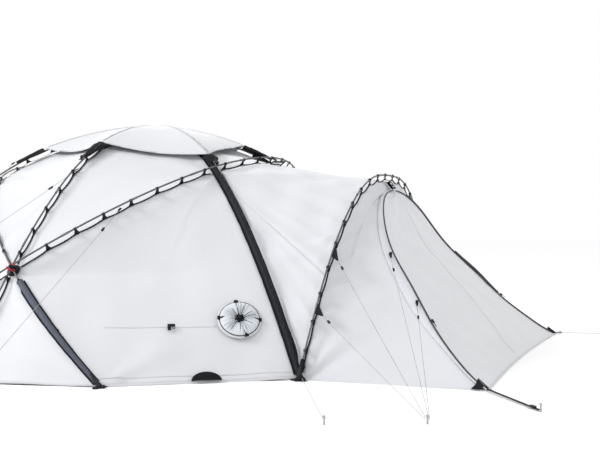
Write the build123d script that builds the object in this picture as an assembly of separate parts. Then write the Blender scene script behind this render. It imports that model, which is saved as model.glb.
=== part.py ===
"""A six-pole expedition dome tent with an arched vestibule, in millimetres.

The dome is a paraboloid of revolution about Z, which stands on the ground plane Z = 0. The vestibule
points along +X. Panels and poles are the same on both sides of the XZ plane, but the cap's front
corners, the vent, the cable port and the guy lines are not. The poles stand outside the fabric: sewn
sleeves hold them at one end, and clips on webbing hold them along the rest. "Near" is the -Y side and
"far" the +Y side; "front" is the vestibule's end. "Lift" is a distance outwards from the fabric's
outer face.
"""

from math import atan2, cos, degrees, radians, sin, sqrt, tan
import os

from build123d import *

# ---- driving dimensions -------------------------------------------------------------------------

BASE_RADIUS = 2600  # the dome on the ground
PEAK_HEIGHT = 1855
MAIN_AZIMUTH = 40.5  # both main poles cross the X axis at this angle
SIDE_FOOT_X = 918  # how far a side arch's foot is from the cross pole's, along X
SIDE_HUB_HEIGHT = 695  # both side arches cross the cross pole here

HOOP_X = 1985  # the vestibule's hoop on the ground
HOOP_HALF_WIDTH = 1745
HOOP_HEIGHT = 1412
HOOP_LEAN = 5  # degrees, away from the dome
HOOP_SQUARENESS = 2.68  # the power of the hoop's superellipse
HOOP_EDGE_GAP = 52  # from the hoop pole in to the fabric's edge

FRONT_X = 3225  # the front hem on the ground
FRONT_HALF_WIDTH = 1710
ZIP_TOP = Vector(2150, 0, 1282)
ZIP_SHOULDER = Vector(2222, -575, 1135)
ZIP_STRAIGHT_TOP = Vector(2376, -890, 838)
ZIP_STRAIGHT_END = Vector(2768, -1320, 368)
ZIP_LOW = Vector(2995, -1550, 152)

POLE_RADIUS = 6.5
POLE_PIECE = 560  # one pole section
FERRULE_LENGTH = 64
CLIP_PITCH = 220
FABRIC = 3  # panel thickness
HEM_HEIGHT = 8  # the panels' hems clear the feet's plates
SLEEVE_RADIUS = 24
SLEEVE_LIFT = 26
MAIN_LIFT = 48  # each pole's axis, where clips carry it
CROSS_LIFT = 46
FRONT_ARCH_LIFT = 62
REAR_ARCH_LIFT = 30
APEX_LIFTS = {"main_near": 30, "main_far": 46, "cross": 62}
WEBBING_RADIUS = 4
WEBBING_LIFT = 8
CAP_LIFT = 68  # the cap's rim over the dome, and its peak
CAP_PEAK_LIFT = 18
CAP_SWELL = 9  # how much fuller the cap is between its rim and its peak
CAP_SLOPE = 1.1  # the rim's lift measured upright, over its lift square to the dome
DIP = 65  # how much lower than the paraboloid the roof and its poles are at the peak
DIP_START, DIP_END = 250, 1300  # the dip fades out between these plan radii
CROSSING_CLEARANCE = 64  # the webbing stops this far from a crossing

GUY_RADIUS = 1.5
PEG_HEIGHT = 45

NEAR, FAR = -1, 1
FRONT, REAR = 1, -1


# ---- the dome's surface and the lines of its poles ----------------------------------------------


def radius_at(z):
    """The dome's plan radius at a height."""
    return BASE_RADIUS * sqrt(max(0, 1 - z / PEAK_HEIGHT))


def outward(point):
    """The dome's outward normal at a point of it."""
    slope = 2 * PEAK_HEIGHT / BASE_RADIUS**2
    return Vector(point.X * slope, point.Y * slope, 1).normalized()


def on_dome(azimuth, z):
    reach = radius_at(z)
    return Vector(reach * cos(radians(azimuth)), reach * sin(radians(azimuth)), z)


def main_line(z, end, side):
    """A main pole's line at a height, at the front or rear end and the near or far side."""
    point = on_dome(MAIN_AZIMUTH, z)
    return Vector(end * point.X, side * point.Y, z)


def cross_line(z, side):
    return Vector(0, side * radius_at(z), z)


def arch_line(z, end, side):
    """A side arch's line: the plane through its feet and both hubs cuts the dome."""
    x = SIDE_FOOT_X * (z / SIDE_HUB_HEIGHT - 1)
    return Vector(end * x, side * sqrt(max(0, radius_at(z) ** 2 - x**2)), z)


def solve(function, low, high):
    """Where a rising function crosses zero."""
    for _ in range(60):
        middle = (low + high) / 2
        low, high = (low, middle) if function(middle) > 0 else (middle, high)
    return (low + high) / 2


def arch_x(z):
    return SIDE_FOOT_X * (z / SIDE_HUB_HEIGHT - 1)


RIDGE_HEIGHT = solve(lambda z: arch_x(z) - radius_at(z), 0, PEAK_HEIGHT)
SHOULDER_HEIGHT = solve(
    lambda z: arch_x(z) - radius_at(z) * cos(radians(MAIN_AZIMUTH)), 0, PEAK_HEIGHT
)


def ramp(value, start, end):
    """0 before start, 1 after end, and smooth between."""
    share = min(1, max(0, (value - start) / (end - start)))
    return share * share * (3 - 2 * share)


def evenly(path, count, samples=400):
    """Parameters that cut a path, a function of 0 to 1, into stretches of one length."""
    points = [path(i / samples) for i in range(samples + 1)]
    along = [0]
    for before, after in zip(points, points[1:]):
        along.append(along[-1] + (after - before).length)
    cuts = []
    step = 0
    for k in range(count + 1):
        target = along[-1] * k / count
        while step < samples - 1 and along[step + 1] < target:
            step += 1
        part = (target - along[step]) / (along[step + 1] - along[step])
        cuts.append((step + min(1, part)) / samples)
    return cuts


def length_of(path, samples=200):
    points = [path(i / samples) for i in range(samples + 1)]
    return sum((b - a).length for a, b in zip(points, points[1:]))


def stretch(path, start, end):
    """Part of a path, as a path of its own."""
    return lambda t: path(start + (end - start) * t)


# ---- each pole's line on the fabric, from 0 at its sleeve to 1 at its other foot ------------------


def main_fabric(side):
    """A main pole's line, from its front foot over the peak to its far rear foot."""

    def path(t):
        reach = BASE_RADIUS * (1 - 2 * t)
        z = PEAK_HEIGHT * (1 - (reach / BASE_RADIUS) ** 2)
        angle = radians(MAIN_AZIMUTH)
        return Vector(reach * cos(angle), side * reach * sin(angle), z)

    return path


def cross_fabric(t):
    reach = BASE_RADIUS * (2 * t - 1)
    return Vector(0, reach, PEAK_HEIGHT * (1 - (reach / BASE_RADIUS) ** 2))


def arch_fabric(end):
    """A side arch's line, from its near foot over the ridge to its far foot."""

    def path(t):
        z = RIDGE_HEIGHT * (1 - (2 * t - 1) ** 2)
        side = NEAR if t < 0.5 else FAR
        return arch_line(z, end, side)

    return path


def hoop_at(t, inset):
    """The hoop from near foot (0) to far foot (1), or the fabric's edge inside it."""
    width, height = HOOP_HALF_WIDTH - inset, HOOP_HEIGHT - inset
    angle = radians(180 * t)
    y = -width * abs(cos(angle)) ** (1.25 / HOOP_SQUARENESS) * (1 if t < 0.5 else -1)
    z = height * (1 - abs(y / width) ** HOOP_SQUARENESS)
    return Vector(HOOP_X + z * tan(radians(HOOP_LEAN)), y, z)


def hoop_pole(t):
    return hoop_at(t, 0)


def hoop_edge(t):
    return hoop_at(t, HOOP_EDGE_GAP)


def sunk(point):
    """A point of the dome, lowered near the peak so that the crossing poles fit under the cap."""
    fade = 1 - ramp(sqrt(point.X**2 + point.Y**2), DIP_START, DIP_END)
    return point - Vector(0, 0, DIP * fade)


def lifted(path, lift):
    """A path moved outwards from the dome by lift(t)."""
    return lambda t: sunk(path(t)) + outward(path(t)) * lift(t)


def main_lift(side):
    apex = APEX_LIFTS["main_near" if side == NEAR else "main_far"]

    def lift(t):
        if t < 0.5:
            return SLEEVE_LIFT + (apex - SLEEVE_LIFT) * ramp(t, 0.36, 0.47)
        return apex + (MAIN_LIFT - apex) * ramp(t, 0.53, 0.62)

    return lift


def cross_lift(t):
    apex = APEX_LIFTS["cross"]
    return CROSS_LIFT + (apex - CROSS_LIFT) * ramp(-abs(t - 0.5), -0.14, -0.04)


def front_arch_lift(t):
    """The front arch stands over the main poles' sleeves, and its far foot is in a sleeve."""
    return FRONT_ARCH_LIFT + (SLEEVE_LIFT - FRONT_ARCH_LIFT) * ramp(t, 0.878, 0.915)


def rear_arch_lift(t):
    return REAR_ARCH_LIFT + (SLEEVE_LIFT - REAR_ARCH_LIFT) * ramp(-t, -0.13, -0.06)


POLES = {
    "main_near": lifted(main_fabric(NEAR), main_lift(NEAR)),
    "main_far": lifted(main_fabric(FAR), main_lift(FAR)),
    "cross": lifted(cross_fabric, cross_lift),
    "side_front": lifted(arch_fabric(FRONT), front_arch_lift),
    "side_rear": lifted(arch_fabric(REAR), rear_arch_lift),
    "vestibule": hoop_pole,
}
FOOT_HEIGHT = 16  # the poles' tips stand in their feet, at least this high
HUB_T = 0.5 - 0.5 * sqrt(1 - SIDE_HUB_HEIGHT / RIDGE_HEIGHT)  # a hub on an arch's line
CAP_T = 0.33  # the cap's edge on a main pole's line


# ---- rods, ribbons and sheets ---------------------------------------------------------------------


def arcs(path, count, trim):
    """A path as arcs of one length, each shortened by trim at both ends."""
    cuts = evenly(path, count)
    for start, end in zip(cuts, cuts[1:]):
        gap = trim * (end - start) / (path(end) - path(start)).length
        low, high = start + gap, end - gap
        yield ThreePointArc(path(low), path((low + high) / 2), path(high))


def swept(section, arc):
    return sweep(Plane(origin=arc @ 0, z_dir=arc % 0) * section, path=arc)


def rods(path, radius, piece, bore=0, trim=0.5):
    """A tube or rod along a path, in separate pieces of about one length."""
    section = Circle(radius) - Circle(bore) if bore else Circle(radius)
    count = max(1, round(length_of(path) / piece))
    return [swept(section, arc) for arc in arcs(path, count, trim)]


def sheet(grid, holes=()):
    """A closed solid of the fabric's thickness, whose outer side is a grid of points.

    The rows run up and the columns run left to right, seen from outside. A hole is a pair (row,
    column) of a cell that is left out.
    """
    rows, columns = len(grid), len(grid[0])

    def inner(i, j):
        across = grid[i][min(j + 1, columns - 1)] - grid[i][max(j - 1, 0)]
        up = grid[min(i + 1, rows - 1)][j] - grid[max(i - 1, 0)][j]
        return grid[i][j] - across.cross(up).normalized() * FABRIC

    outer_side = grid
    inner_side = [[inner(i, j) for j in range(columns)] for i in range(rows)]
    cells = {(i, j) for i in range(rows - 1) for j in range(columns - 1)} - set(holes)
    faces = []

    def triangle(*corners):
        faces.append(Face(Wire.make_polygon(corners, close=True)))

    def quad(a, b, c, d):
        triangle(a, b, c)
        triangle(a, c, d)

    for i, j in sorted(cells):
        corners = [(i, j), (i, j + 1), (i + 1, j + 1), (i + 1, j)]
        out = [outer_side[r][c] for r, c in corners]
        into = [inner_side[r][c] for r, c in corners]
        quad(*out)
        quad(into[0], into[3], into[2], into[1])
        beside = [(i - 1, j), (i, j + 1), (i + 1, j), (i, j - 1)]
        for k, other in enumerate(beside):
            if other not in cells:
                n = (k + 1) % 4
                triangle(out[k], into[k], into[n])
                triangle(out[k], into[n], out[n])
    return Solid(Shell(faces))


def ruled(left, right, heights, columns=3, inset=4):
    """A grid of points between two lines, each a function of the same parameter."""
    grid = []
    for value in heights:
        a, b = left(value), right(value)
        edge = (b - a).normalized() * inset
        a, b = a + edge, b - edge
        grid.append([a + (b - a) * (j / columns) for j in range(columns + 1)])
    return grid


def spread(low, high, count):
    return [low + (high - low) * k / count for k in range(count + 1)]


def mirrored(solids):
    """The same solids on the other side of the XZ plane."""
    return [mirror(solid, about=Plane.XZ) for solid in solids]


# ---- the fabric panels ----------------------------------------------------------------------------


def wall_edge(z, end):
    """The near wall's side that is away from the main pole: an arch's leg, then the other arch."""
    if z < SIDE_HUB_HEIGHT:
        return arch_line(z, -end, NEAR)
    return arch_line(z, end, NEAR)


def wall_panel(end):
    """The large near wall between a main pole's foot, a side arch's foot and a hub."""
    low = spread(HEM_HEIGHT, SIDE_HUB_HEIGHT, 4)
    high = spread(SIDE_HUB_HEIGHT, SHOULDER_HEIGHT - 25, 5)[1:]

    def arch_side(z):
        return wall_edge(z, end)

    def pole_side(z):
        return main_line(z, end, NEAR)

    left, right = (arch_side, pole_side) if end == FRONT else (pole_side, arch_side)
    return sheet(ruled(left, right, low + high))


def middle_panels():
    """The two near triangles below a hub, on each side of the cross pole's foot."""
    heights = spread(HEM_HEIGHT, SIDE_HUB_HEIGHT - 30, 4)
    front = ruled(
        lambda z: cross_line(z, NEAR), lambda z: arch_line(z, REAR, NEAR), heights, 2
    )
    rear = ruled(
        lambda z: arch_line(z, FRONT, NEAR), lambda z: cross_line(z, NEAR), heights, 2
    )
    return [sheet(front), sheet(rear)]


def roof_panels():
    """The near roof on each side of the cross pole, from a hub up to the peak."""
    low = spread(SIDE_HUB_HEIGHT + 30, SHOULDER_HEIGHT, 4)
    high = spread(SHOULDER_HEIGHT, PEAK_HEIGHT - 1, 4)[1:]
    heights = low + high

    def edge(end):
        return lambda z: (
            arch_line(z, end, NEAR) if z < SHOULDER_HEIGHT else main_line(z, end, NEAR)
        )

    def middle(z):
        return cross_line(z, NEAR)

    sides = (ruled(middle, edge(FRONT), heights), ruled(edge(REAR), middle, heights))
    return [sheet([[sunk(point) for point in row] for row in grid]) for grid in sides]


DOOR_HALF_WIDTH = 420
DOOR_SILL = 100
DOOR_TOP = 790
DOOR_GAP = 8
END_TOP = RIDGE_HEIGHT - 40  # the end walls stop just under the arches' ridges
ROOF_FLATNESS = 0.45  # of the main poles' rise, in the middle of an end roof
END_BASE_X = BASE_RADIUS * cos(radians(MAIN_AZIMUTH))
END_SLOPE = (END_BASE_X - arch_x(RIDGE_HEIGHT)) / RIDGE_HEIGHT


def end_edge(z, end, side):
    """The side of an end wall: a main pole's line, then the arch that crosses it."""
    if z < SHOULDER_HEIGHT:
        return main_line(z, end, side)
    return arch_line(z, end, side)


def end_row(z, end):
    """Six points across an end wall at a height, level in the middle, where the door is."""
    x = END_BASE_X - END_SLOPE * z
    side = end_edge(z, end, FAR)
    wide = min(DOOR_HALF_WIDTH, side.Y * 0.6)
    halves = [
        Vector(side.X + 3 * end, side.Y - 4, z),
        Vector(end * x, wide, z),
    ]
    left = [Vector(p.X, -p.Y, z) for p in halves]
    row = [left[0], (left[0] + left[1]) / 2, left[1], halves[1]]
    row += [(halves[0] + halves[1]) / 2, halves[0]]
    return row if end == FRONT else row[::-1]


def end_wall(end, doorway):
    heights = [HEM_HEIGHT, DOOR_SILL, (DOOR_SILL + DOOR_TOP) / 2, DOOR_TOP, 1150, 1340, END_TOP]
    grid = [end_row(z, end) for z in heights]
    return sheet(grid, holes=[(1, 2), (2, 2)] if doorway else ())


def end_roof(end):
    """The fan-shaped roof between the main poles, from an arch's ridge up to the peak."""
    grid = []
    shoulder_t = 0.5 - 0.5 * sqrt(1 - SHOULDER_HEIGHT / RIDGE_HEIGHT)
    for share in (0, 0.33, 0.66, 0.998):
        z = SHOULDER_HEIGHT + (PEAK_HEIGHT - SHOULDER_HEIGHT) * share
        row = []
        for across in (-1, -0.6, -0.25, 0, 0.25, 0.6, 1):
            side = NEAR if across < 0 else FAR
            edge = main_line(z, end, side)
            corner = main_line(SHOULDER_HEIGHT, end, side)
            low = arch_fabric(end)(0.5 + across * (0.5 - shoulder_t))
            peak = Vector(0, 0, PEAK_HEIGHT)
            bulge = edge - (corner + (peak - corner) * share)
            hold = ROOF_FLATNESS + (1 - ROOF_FLATNESS) * abs(across) ** 3
            row.append(sunk(low + (peak - low) * share + bulge * hold))
        grid.append(row)
    return sheet(grid if end == FRONT else [row[::-1] for row in grid])


def inner_door():
    """A flat door that fills the doorway, with a gap all round it."""

    def row(z):
        x = END_BASE_X - END_SLOPE * z
        wide = DOOR_HALF_WIDTH - DOOR_GAP
        return [Vector(x, wide * k, z) for k in (-1, 0, 1)]

    return sheet([row(z) for z in (DOOR_SILL + DOOR_GAP, 445, DOOR_TOP - DOOR_GAP)])


def groundsheet():
    feet = [
        (END_BASE_X, main_line(0, FRONT, NEAR).Y),
        (SIDE_FOOT_X, arch_line(0, REAR, NEAR).Y),
        (0, -BASE_RADIUS),
        (-SIDE_FOOT_X, arch_line(0, FRONT, NEAR).Y),
        (-END_BASE_X, main_line(0, REAR, NEAR).Y),
    ]
    outline = feet + [(x, -y) for x, y in reversed(feet)]
    inside = Polyline(*[(x * 0.975, y * 0.975) for x, y in outline], close=True)
    return extrude(make_face(inside), amount=FABRIC)


def roof_cap():
    """The six-cornered cover over the crossing poles."""
    corners = []
    for end, side, z in cap_corners():
        point = main_line(z, end, side) if end else cross_line(z, side)
        corners.append(point + outward(point) * CAP_LIFT)
    facets = []
    for a, b in zip(corners, corners[1:] + corners[:1]):
        rows = []
        for share in spread(0.04, 1, 6):
            row = []
            apart = 3 / ((b - a).length * share)
            for k in spread(apart, 1 - apart, 3):
                flat = (a + (b - a) * k) * share
                z = PEAK_HEIGHT * (1 - (flat.X**2 + flat.Y**2) / BASE_RADIUS**2)
                rim = sunk(Vector(flat.X, flat.Y, z)).Z + CAP_LIFT * CAP_SLOPE
                peak = z + CAP_PEAK_LIFT
                swell = 4 * CAP_SWELL * share**2 * (1 - share**2)
                row.append(Vector(flat.X, flat.Y, peak + (rim - peak) * share**2 + swell))
            rows.append(row)
        facets.append(sheet(rows[::-1]))
    return facets


def cap_corners():
    """Each corner of the cap in turn: (end, side, height), with end 0 on the cross pole."""
    return [
        (FRONT, NEAR, 1500),
        (FRONT, FAR, 1680),
        (0, FAR, 1620),
        (REAR, FAR, 1600),
        (REAR, NEAR, 1600),
        (0, NEAR, 1620),
    ]


# ---- the vestibule --------------------------------------------------------------------------------

ATTACH_LIFT = 6
ATTACH_STEP = 42  # the vestibule's seam is this far in front of the main sleeve's line


def attach_near(t):
    """The vestibule's seam on the dome, from a main pole's foot (0) to the ridge (0.5)."""
    z = (RIDGE_HEIGHT - 12) * (1 - (1 - 2 * t) ** 2) + HEM_HEIGHT / 4
    point = end_edge(z, FRONT, NEAR)
    forward = Vector(sin(radians(MAIN_AZIMUTH)), cos(radians(MAIN_AZIMUTH)), 0)
    share = 1 - ramp(z, SHOULDER_HEIGHT - 60, SHOULDER_HEIGHT + 40)
    step = forward * ATTACH_STEP * share + Vector(ATTACH_STEP, 0, 0) * (1 - share)
    return point + step + outward(point) * ATTACH_LIFT


def attach(t):
    if t <= 0.5:
        return attach_near(t)
    point = attach_near(1 - t)
    return Vector(point.X, -point.Y, point.Z)


def vestibule_panel(start, end, columns=3):
    """The tunnel between the dome's seam and the hoop, over part of the seam's length."""
    values = spread(start, end, 5)

    def hoop_side(t):
        return hoop_edge(t) - Vector(3, 0, 0)

    return sheet(ruled(attach, hoop_side, values, columns))


zip_spline = Spline(
    ZIP_TOP,
    ZIP_SHOULDER,
    ZIP_STRAIGHT_TOP,
    (ZIP_STRAIGHT_TOP + ZIP_STRAIGHT_END) / 2,
    ZIP_STRAIGHT_END,
    ZIP_LOW,
    Vector(FRONT_X, -FRONT_HALF_WIDTH, 1),
    tangents=[(0, -1, 0), (1, -0.6, -0.35)],
)


def zip_near(t):
    """The front door's near edge, from its foot (0) to the top (1)."""
    return zip_spline @ (1 - t)


def zip_far(t):
    point = zip_near(t)
    return Vector(point.X, -point.Y, point.Z)


DOOR_STATIONS = [0, 0.06, 0.14, 0.25, 0.38, 0.5, 0.62, 0.75, 0.86, 0.95]
ZIP_GAP = 10  # between the door and the panels beside it


def front_side_panel():
    """The fixed near part of the vestibule's front, between the hoop and the door."""

    def hoop_side(t):
        return hoop_edge(0.5 * t) + Vector(3, 0, HEM_HEIGHT * (1 - t))

    def zip_side(t):
        rise = HEM_HEIGHT * (1 - t) + ZIP_GAP * ramp(t, 0.6, 0.9)
        return zip_near(t) + Vector(0, 0, rise)

    return sheet(ruled(hoop_side, zip_side, DOOR_STATIONS + [0.985], 3, ZIP_GAP))


def front_door():
    return sheet(ruled(zip_near, zip_far, DOOR_STATIONS, 4, 6))


# ---- sleeves, webbing, clips and feet ---------------------------------------------------------------


def pole_path(name):
    """A pole's axis between its tips, which stand in its feet."""
    path = POLES[name]
    first = solve(lambda t: path(t).Z - FOOT_HEIGHT, 0, 0.1)
    last = 1 - solve(lambda t: path(1 - t).Z - FOOT_HEIGHT, 0, 0.1)
    return stretch(path, first, last)


def pole(name):
    return rods(pole_path(name), POLE_RADIUS, POLE_PIECE, trim=0.6)


def ferrules():
    """A short collar over every joint between two pole sections."""
    collars = []
    for name in POLES:
        path = pole_path(name)
        count = max(1, round(length_of(path) / POLE_PIECE))
        for cut in evenly(path, count)[1:-1]:
            if in_sleeve(name, cut):
                continue
            centre = path(cut)
            along = (path(cut + 0.002) - path(cut - 0.002)).normalized()
            start = centre - along * (FERRULE_LENGTH / 2)
            ring = Circle(POLE_RADIUS + 2) - Circle(POLE_RADIUS + 0.35)
            collars.append(extrude(Plane(origin=start, z_dir=along) * ring, FERRULE_LENGTH))
    return collars


SLEEVES = {
    "main_near": (0.012, CAP_T),
    "main_far": (0.012, CAP_T),
    "side_rear": (0.012, HUB_T - 0.016),
    "side_front": (1 - HUB_T + 0.05, 0.988),
}


def in_sleeve(name, t):
    start, end = SLEEVES.get(name, (2, 2))
    return start - 0.01 < t < end + 0.01


def sleeve(name):
    """A sewn tube round a pole, open at both ends."""
    start, end = SLEEVES[name]
    path = stretch(POLES[name], start, end)
    return rods(path, SLEEVE_RADIUS, 400, bore=POLE_RADIUS + 1.5, trim=0.2)


FABRIC_LINES = {
    "main_near": (main_fabric(NEAR), 0.59, 0.985),
    "main_far": (main_fabric(FAR), 0.59, 0.985),
    "cross_near": (cross_fabric, 0.015, 0.36),
    "cross_far": (cross_fabric, 0.64, 0.985),
    "side_front": (arch_fabric(FRONT), 0.015, 1 - HUB_T),
    "side_rear": (arch_fabric(REAR), HUB_T, 0.985),
}
POLE_OF = {
    "main_near": "main_near",
    "main_far": "main_far",
    "cross_near": "cross",
    "cross_far": "cross",
    "side_front": "side_front",
    "side_rear": "side_rear",
}


def free_stretches(path, start, end, steps=600):
    """The parts of a line on the fabric that are clear of the poles that cross it."""
    parts, first, last = [], None, None
    for t in spread(start, end, steps):
        free = all((path(t) - crossing).length > CROSSING_CLEARANCE for crossing in crossings())
        if free:
            first = t if first is None else first
            last = t
        if first is not None and (not free or t == end):
            parts.append((first, last))
            first = None
    return parts


def webbing():
    """The tapes on the fabric that carry the clips."""
    tapes = []
    for path, start, end in FABRIC_LINES.values():
        for first, last in free_stretches(path, start, end):
            tape = lifted(stretch(path, first, last), lambda t: WEBBING_LIFT)
            tapes += rods(tape, WEBBING_RADIUS, 450, trim=1)
    tapes += rods(stretch(hoop_tape, 0.01, 0.99), WEBBING_RADIUS, 450, trim=0.2)
    return tapes


def hoop_tape(t):
    return hoop_at(t, HOOP_EDGE_GAP - WEBBING_LIFT)


def clip(base, top, along, half_width=28):
    """A three-cornered clip between a point on the webbing and a point on a pole's axis."""
    rise = (top - base).normalized()
    height = (top - base).length
    across = along.cross(rise).normalized()
    along = rise.cross(across)
    plane = Plane(origin=base, x_dir=along, z_dir=across)
    hook = POLE_RADIUS + 3
    profile = Polygon(
        (-half_width, WEBBING_RADIUS + 0.2),
        (half_width, WEBBING_RADIUS + 0.2),
        (6, height - POLE_RADIUS - 1),
        (-6, height - POLE_RADIUS - 1),
        align=None,
    )
    plate = extrude(plane * profile, 1.5, both=True)
    start = top - along * 6
    ring = Circle(hook) - Circle(POLE_RADIUS + 0.3)
    return plate + extrude(Plane(origin=start, z_dir=along) * ring, 12)


def clips_along(name):
    """The clips along one stretch of webbing, a pitch apart."""
    path, start, end = FABRIC_LINES[name]
    on_fabric = stretch(path, start, end)
    on_pole = stretch(POLES[POLE_OF[name]], start, end)
    count = round(length_of(on_fabric) / CLIP_PITCH)
    made = []
    for cut in evenly(on_fabric, count)[:-1]:
        point = on_fabric(cut)
        place = start + (end - start) * cut
        if near_crossing(point, place, name):
            continue
        base = sunk(point) + outward(point) * WEBBING_LIFT
        along = on_pole(min(1, cut + 0.01)) - on_pole(max(0, cut - 0.01))
        made.append(clip(base, on_pole(cut), along))
    return made


def crossings():
    """The points of the dome where two poles cross."""
    points = []
    for side in (NEAR, FAR):
        points.append(cross_line(SIDE_HUB_HEIGHT, side))
        for end in (FRONT, REAR):
            points.append(main_line(SHOULDER_HEIGHT, end, side))
    return points


def near_crossing(point, place, name):
    close = any((point - crossing).length < 75 for crossing in crossings())
    return close or point.Z < 60 or place < 0.03


def hoop_clips():
    made = []
    for cut in evenly(hoop_tape, round(length_of(hoop_tape) / 205))[1:-1]:
        base, top = hoop_tape(cut), hoop_pole(nearest(hoop_pole, hoop_tape(cut), cut))
        along = hoop_pole(min(1, cut + 0.01)) - hoop_pole(max(0, cut - 0.01))
        made.append(clip(base, top, along))
    return made


def nearest(path, point, guess, reach=0.05):
    """The parameter of the path's nearest point, near a guess."""
    tries = [min(1, max(0, guess + reach * (k / 50 - 1))) for k in range(101)]
    return min(tries, key=lambda t: (path(t) - point).length)


def hub(side):
    """A plate behind the triple crossing, on the fabric, with a strap bar."""
    point = cross_line(SIDE_HUB_HEIGHT, side)
    face = Plane(origin=point + outward(point) * 14, z_dir=outward(point))
    return extrude(face * RegularPolygon(46, 6), 5)


def upright(place, radius, height):
    """A cylinder that stands on the ground."""
    base = (Align.CENTER, Align.CENTER, Align.MIN)
    return Pos(place.X, place.Y, 0) * Cylinder(radius, height, align=base)


def foot(tip, heading, plated):
    """A pole's foot: a stub up to the pole's tip, and on most of them a plate on the ground."""
    stub = upright(tip, 11, tip.Z - 5)
    if not plated:
        return stub
    angle = degrees(atan2(heading.Y, heading.X))
    return stub + Pos(tip.X, tip.Y, 3) * Rot(0, 0, angle) * Box(44, 50, 6)


def feet():
    made = []
    for name in POLES:
        path = pole_path(name)
        for t, inside in ((0, 0.02), (1, 0.98)):
            tip = path(t)
            made.append(foot(tip, tip - path(inside), name != "vestibule"))
    return made


def cap_straps():
    """The tape and buckle that pull each corner of the cap down its pole."""
    made = []
    for end, side, z in cap_corners():
        line = (lambda h: main_line(h, end, side)) if end else (lambda h: cross_line(h, side))
        lift = CAP_LIFT - 1
        reach = 42 if (end, side) == (FRONT, NEAR) else 130
        rows = []
        for height in spread(z - reach, z - 8, 3):
            point = line(height)
            half = Vector(-point.Y, point.X, 0).normalized() * 22
            raised = sunk(point) + outward(point) * lift
            rows.append([raised - half, raised + half])
        made.append(sheet(rows))
    return made


# ---- the vent, the cable port and the tent's small fittings ---------------------------------------

VENT_SHARE, VENT_HEIGHT = 0.82, 375  # its place on the near front wall: across, and up
VENT_RADIUS = 137
VENT_LIFT = 22
PORT_SHARE = 0.525
PORT_LIFT = 14


def wall_point(share, z):
    """A point of the near front wall, between its side arch and its main pole."""
    left, right = wall_edge(z, FRONT), main_line(z, FRONT, NEAR)
    return left + (right - left) * share


def wall_plane(share, z, lift):
    """A plane that lies on the near front wall at a point, with its X axis level."""
    point = wall_point(share, z)
    along = (wall_point(share + 0.05, z) - point).normalized()
    up = wall_point(share, z + 60) - point
    normal = along.cross(up).normalized()
    return Plane(origin=point + normal * lift, x_dir=along, z_dir=normal)


VENT_PLANE = wall_plane(VENT_SHARE, VENT_HEIGHT, VENT_LIFT)
PORT_PLANE = wall_plane(PORT_SHARE, HEM_HEIGHT, PORT_LIFT)


def vent():
    """A round tunnel vent, gathered shut: a low cone with a ring round it."""
    plane = VENT_PLANE
    ring = extrude(plane * (Circle(VENT_RADIUS) - Circle(VENT_RADIUS - 16)), 12)
    tunnel = plane * Pos(0, 0, 9) * Cone(VENT_RADIUS - 17, 24, 18)
    return [ring, tunnel]


def vent_toggle():
    barrel = VENT_PLANE * Pos(0, 0, 29) * Cylinder(9, 20)
    button = VENT_PLANE * Pos(0, 0, 42) * Cylinder(6, 6)
    return barrel + button


PORT_RADIUS = 96
SLIDER_LIFT = 18  # from the zip to the slider


def port_flap():
    """A half-round flap over the cable port, hinged along the hem."""
    half = Circle(PORT_RADIUS) & Pos(0, PORT_RADIUS / 2) * Rectangle(2 * PORT_RADIUS, PORT_RADIUS)
    return extrude(PORT_PLANE * half, FABRIC)


def slider(place, along):
    """A zip slider: a body on the zip and a pull below it."""
    away = Vector(along.Z, 0, -along.X).normalized()
    away = away if away.X > 0 else away * -1
    plane = Plane(origin=place + away * SLIDER_LIFT, x_dir=along, z_dir=away)
    body = extrude(plane * RectangleRounded(34, 18, 5), 9)
    pull = extrude(plane * Pos(-36, 0, 3) * RectangleRounded(42, 10, 4), 3)
    return body + pull


def slider_axis(side):
    top, end = ZIP_STRAIGHT_TOP, ZIP_STRAIGHT_END
    if side == FAR:
        top, end = Vector(top.X, -top.Y, top.Z), Vector(end.X, -end.Y, end.Z)
    return end, (top - end)


# ---- guy lines ------------------------------------------------------------------------------------

FRONT_PEG = Vector(3120, -2845, 0)
POLE_PEG = Vector(2625, -3048, 0)
SIDE_PEG = Vector(480, -3270, 0)
CROSS_PEG = Vector(-1060, -3210, 0)
STRAP_PEG = Vector(3622, -2290, 0)
FAR_PEG = Vector(3680, 1650, 0)
ADJUSTER_AT = 150  # from a guy line's tab to its adjuster
TAB_RADIUS = 9


def hoop_tab(t):
    """Where a guy line is tied to the hoop, just inside the pole."""
    return hoop_at(t, 26)


def flap_tab(t):
    """Where a guy line is tied to the tape beside the front door's zip."""
    return zip_near(t) + Vector(-14, -42, 10)


def pole_tab(path, t, lift):
    return path(t) + outward(path(t)) * lift


def toward(start, end, distance):
    return start + (end - start).normalized() * distance


GUYS = {
    "hoop_upper": (hoop_tab(0.339), FRONT_PEG + Vector(-10, 4, 30)),
    "hoop_lower": (hoop_tab(0.239), FRONT_PEG + Vector(-15, 10, 22)),
    "door_upper": (flap_tab(0.55), FRONT_PEG + Vector(6, 6, 30)),
    "door_lower": (flap_tab(0.352), FRONT_PEG + Vector(10, 10, 22)),
    "corner": (Vector(2030, -1790, 30), POLE_PEG + Vector(-6, 8, 26)),
    "side_arch": (pole_tab(arch_fabric(FRONT), 0.238, 26), SIDE_PEG + Vector(3, 9, 30)),
    "cross_pole": (pole_tab(cross_fabric, 0.255, 26), CROSS_PEG + Vector(5, 8, 30)),
    "front_far": (Vector(FRONT_X + 30, FRONT_HALF_WIDTH + 26, 12), FAR_PEG + Vector(-9, 0, 26)),
}
WITH_ADJUSTER = ("hoop_upper", "hoop_lower", "door_upper", "door_lower", "side_arch", "cross_pole")


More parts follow.
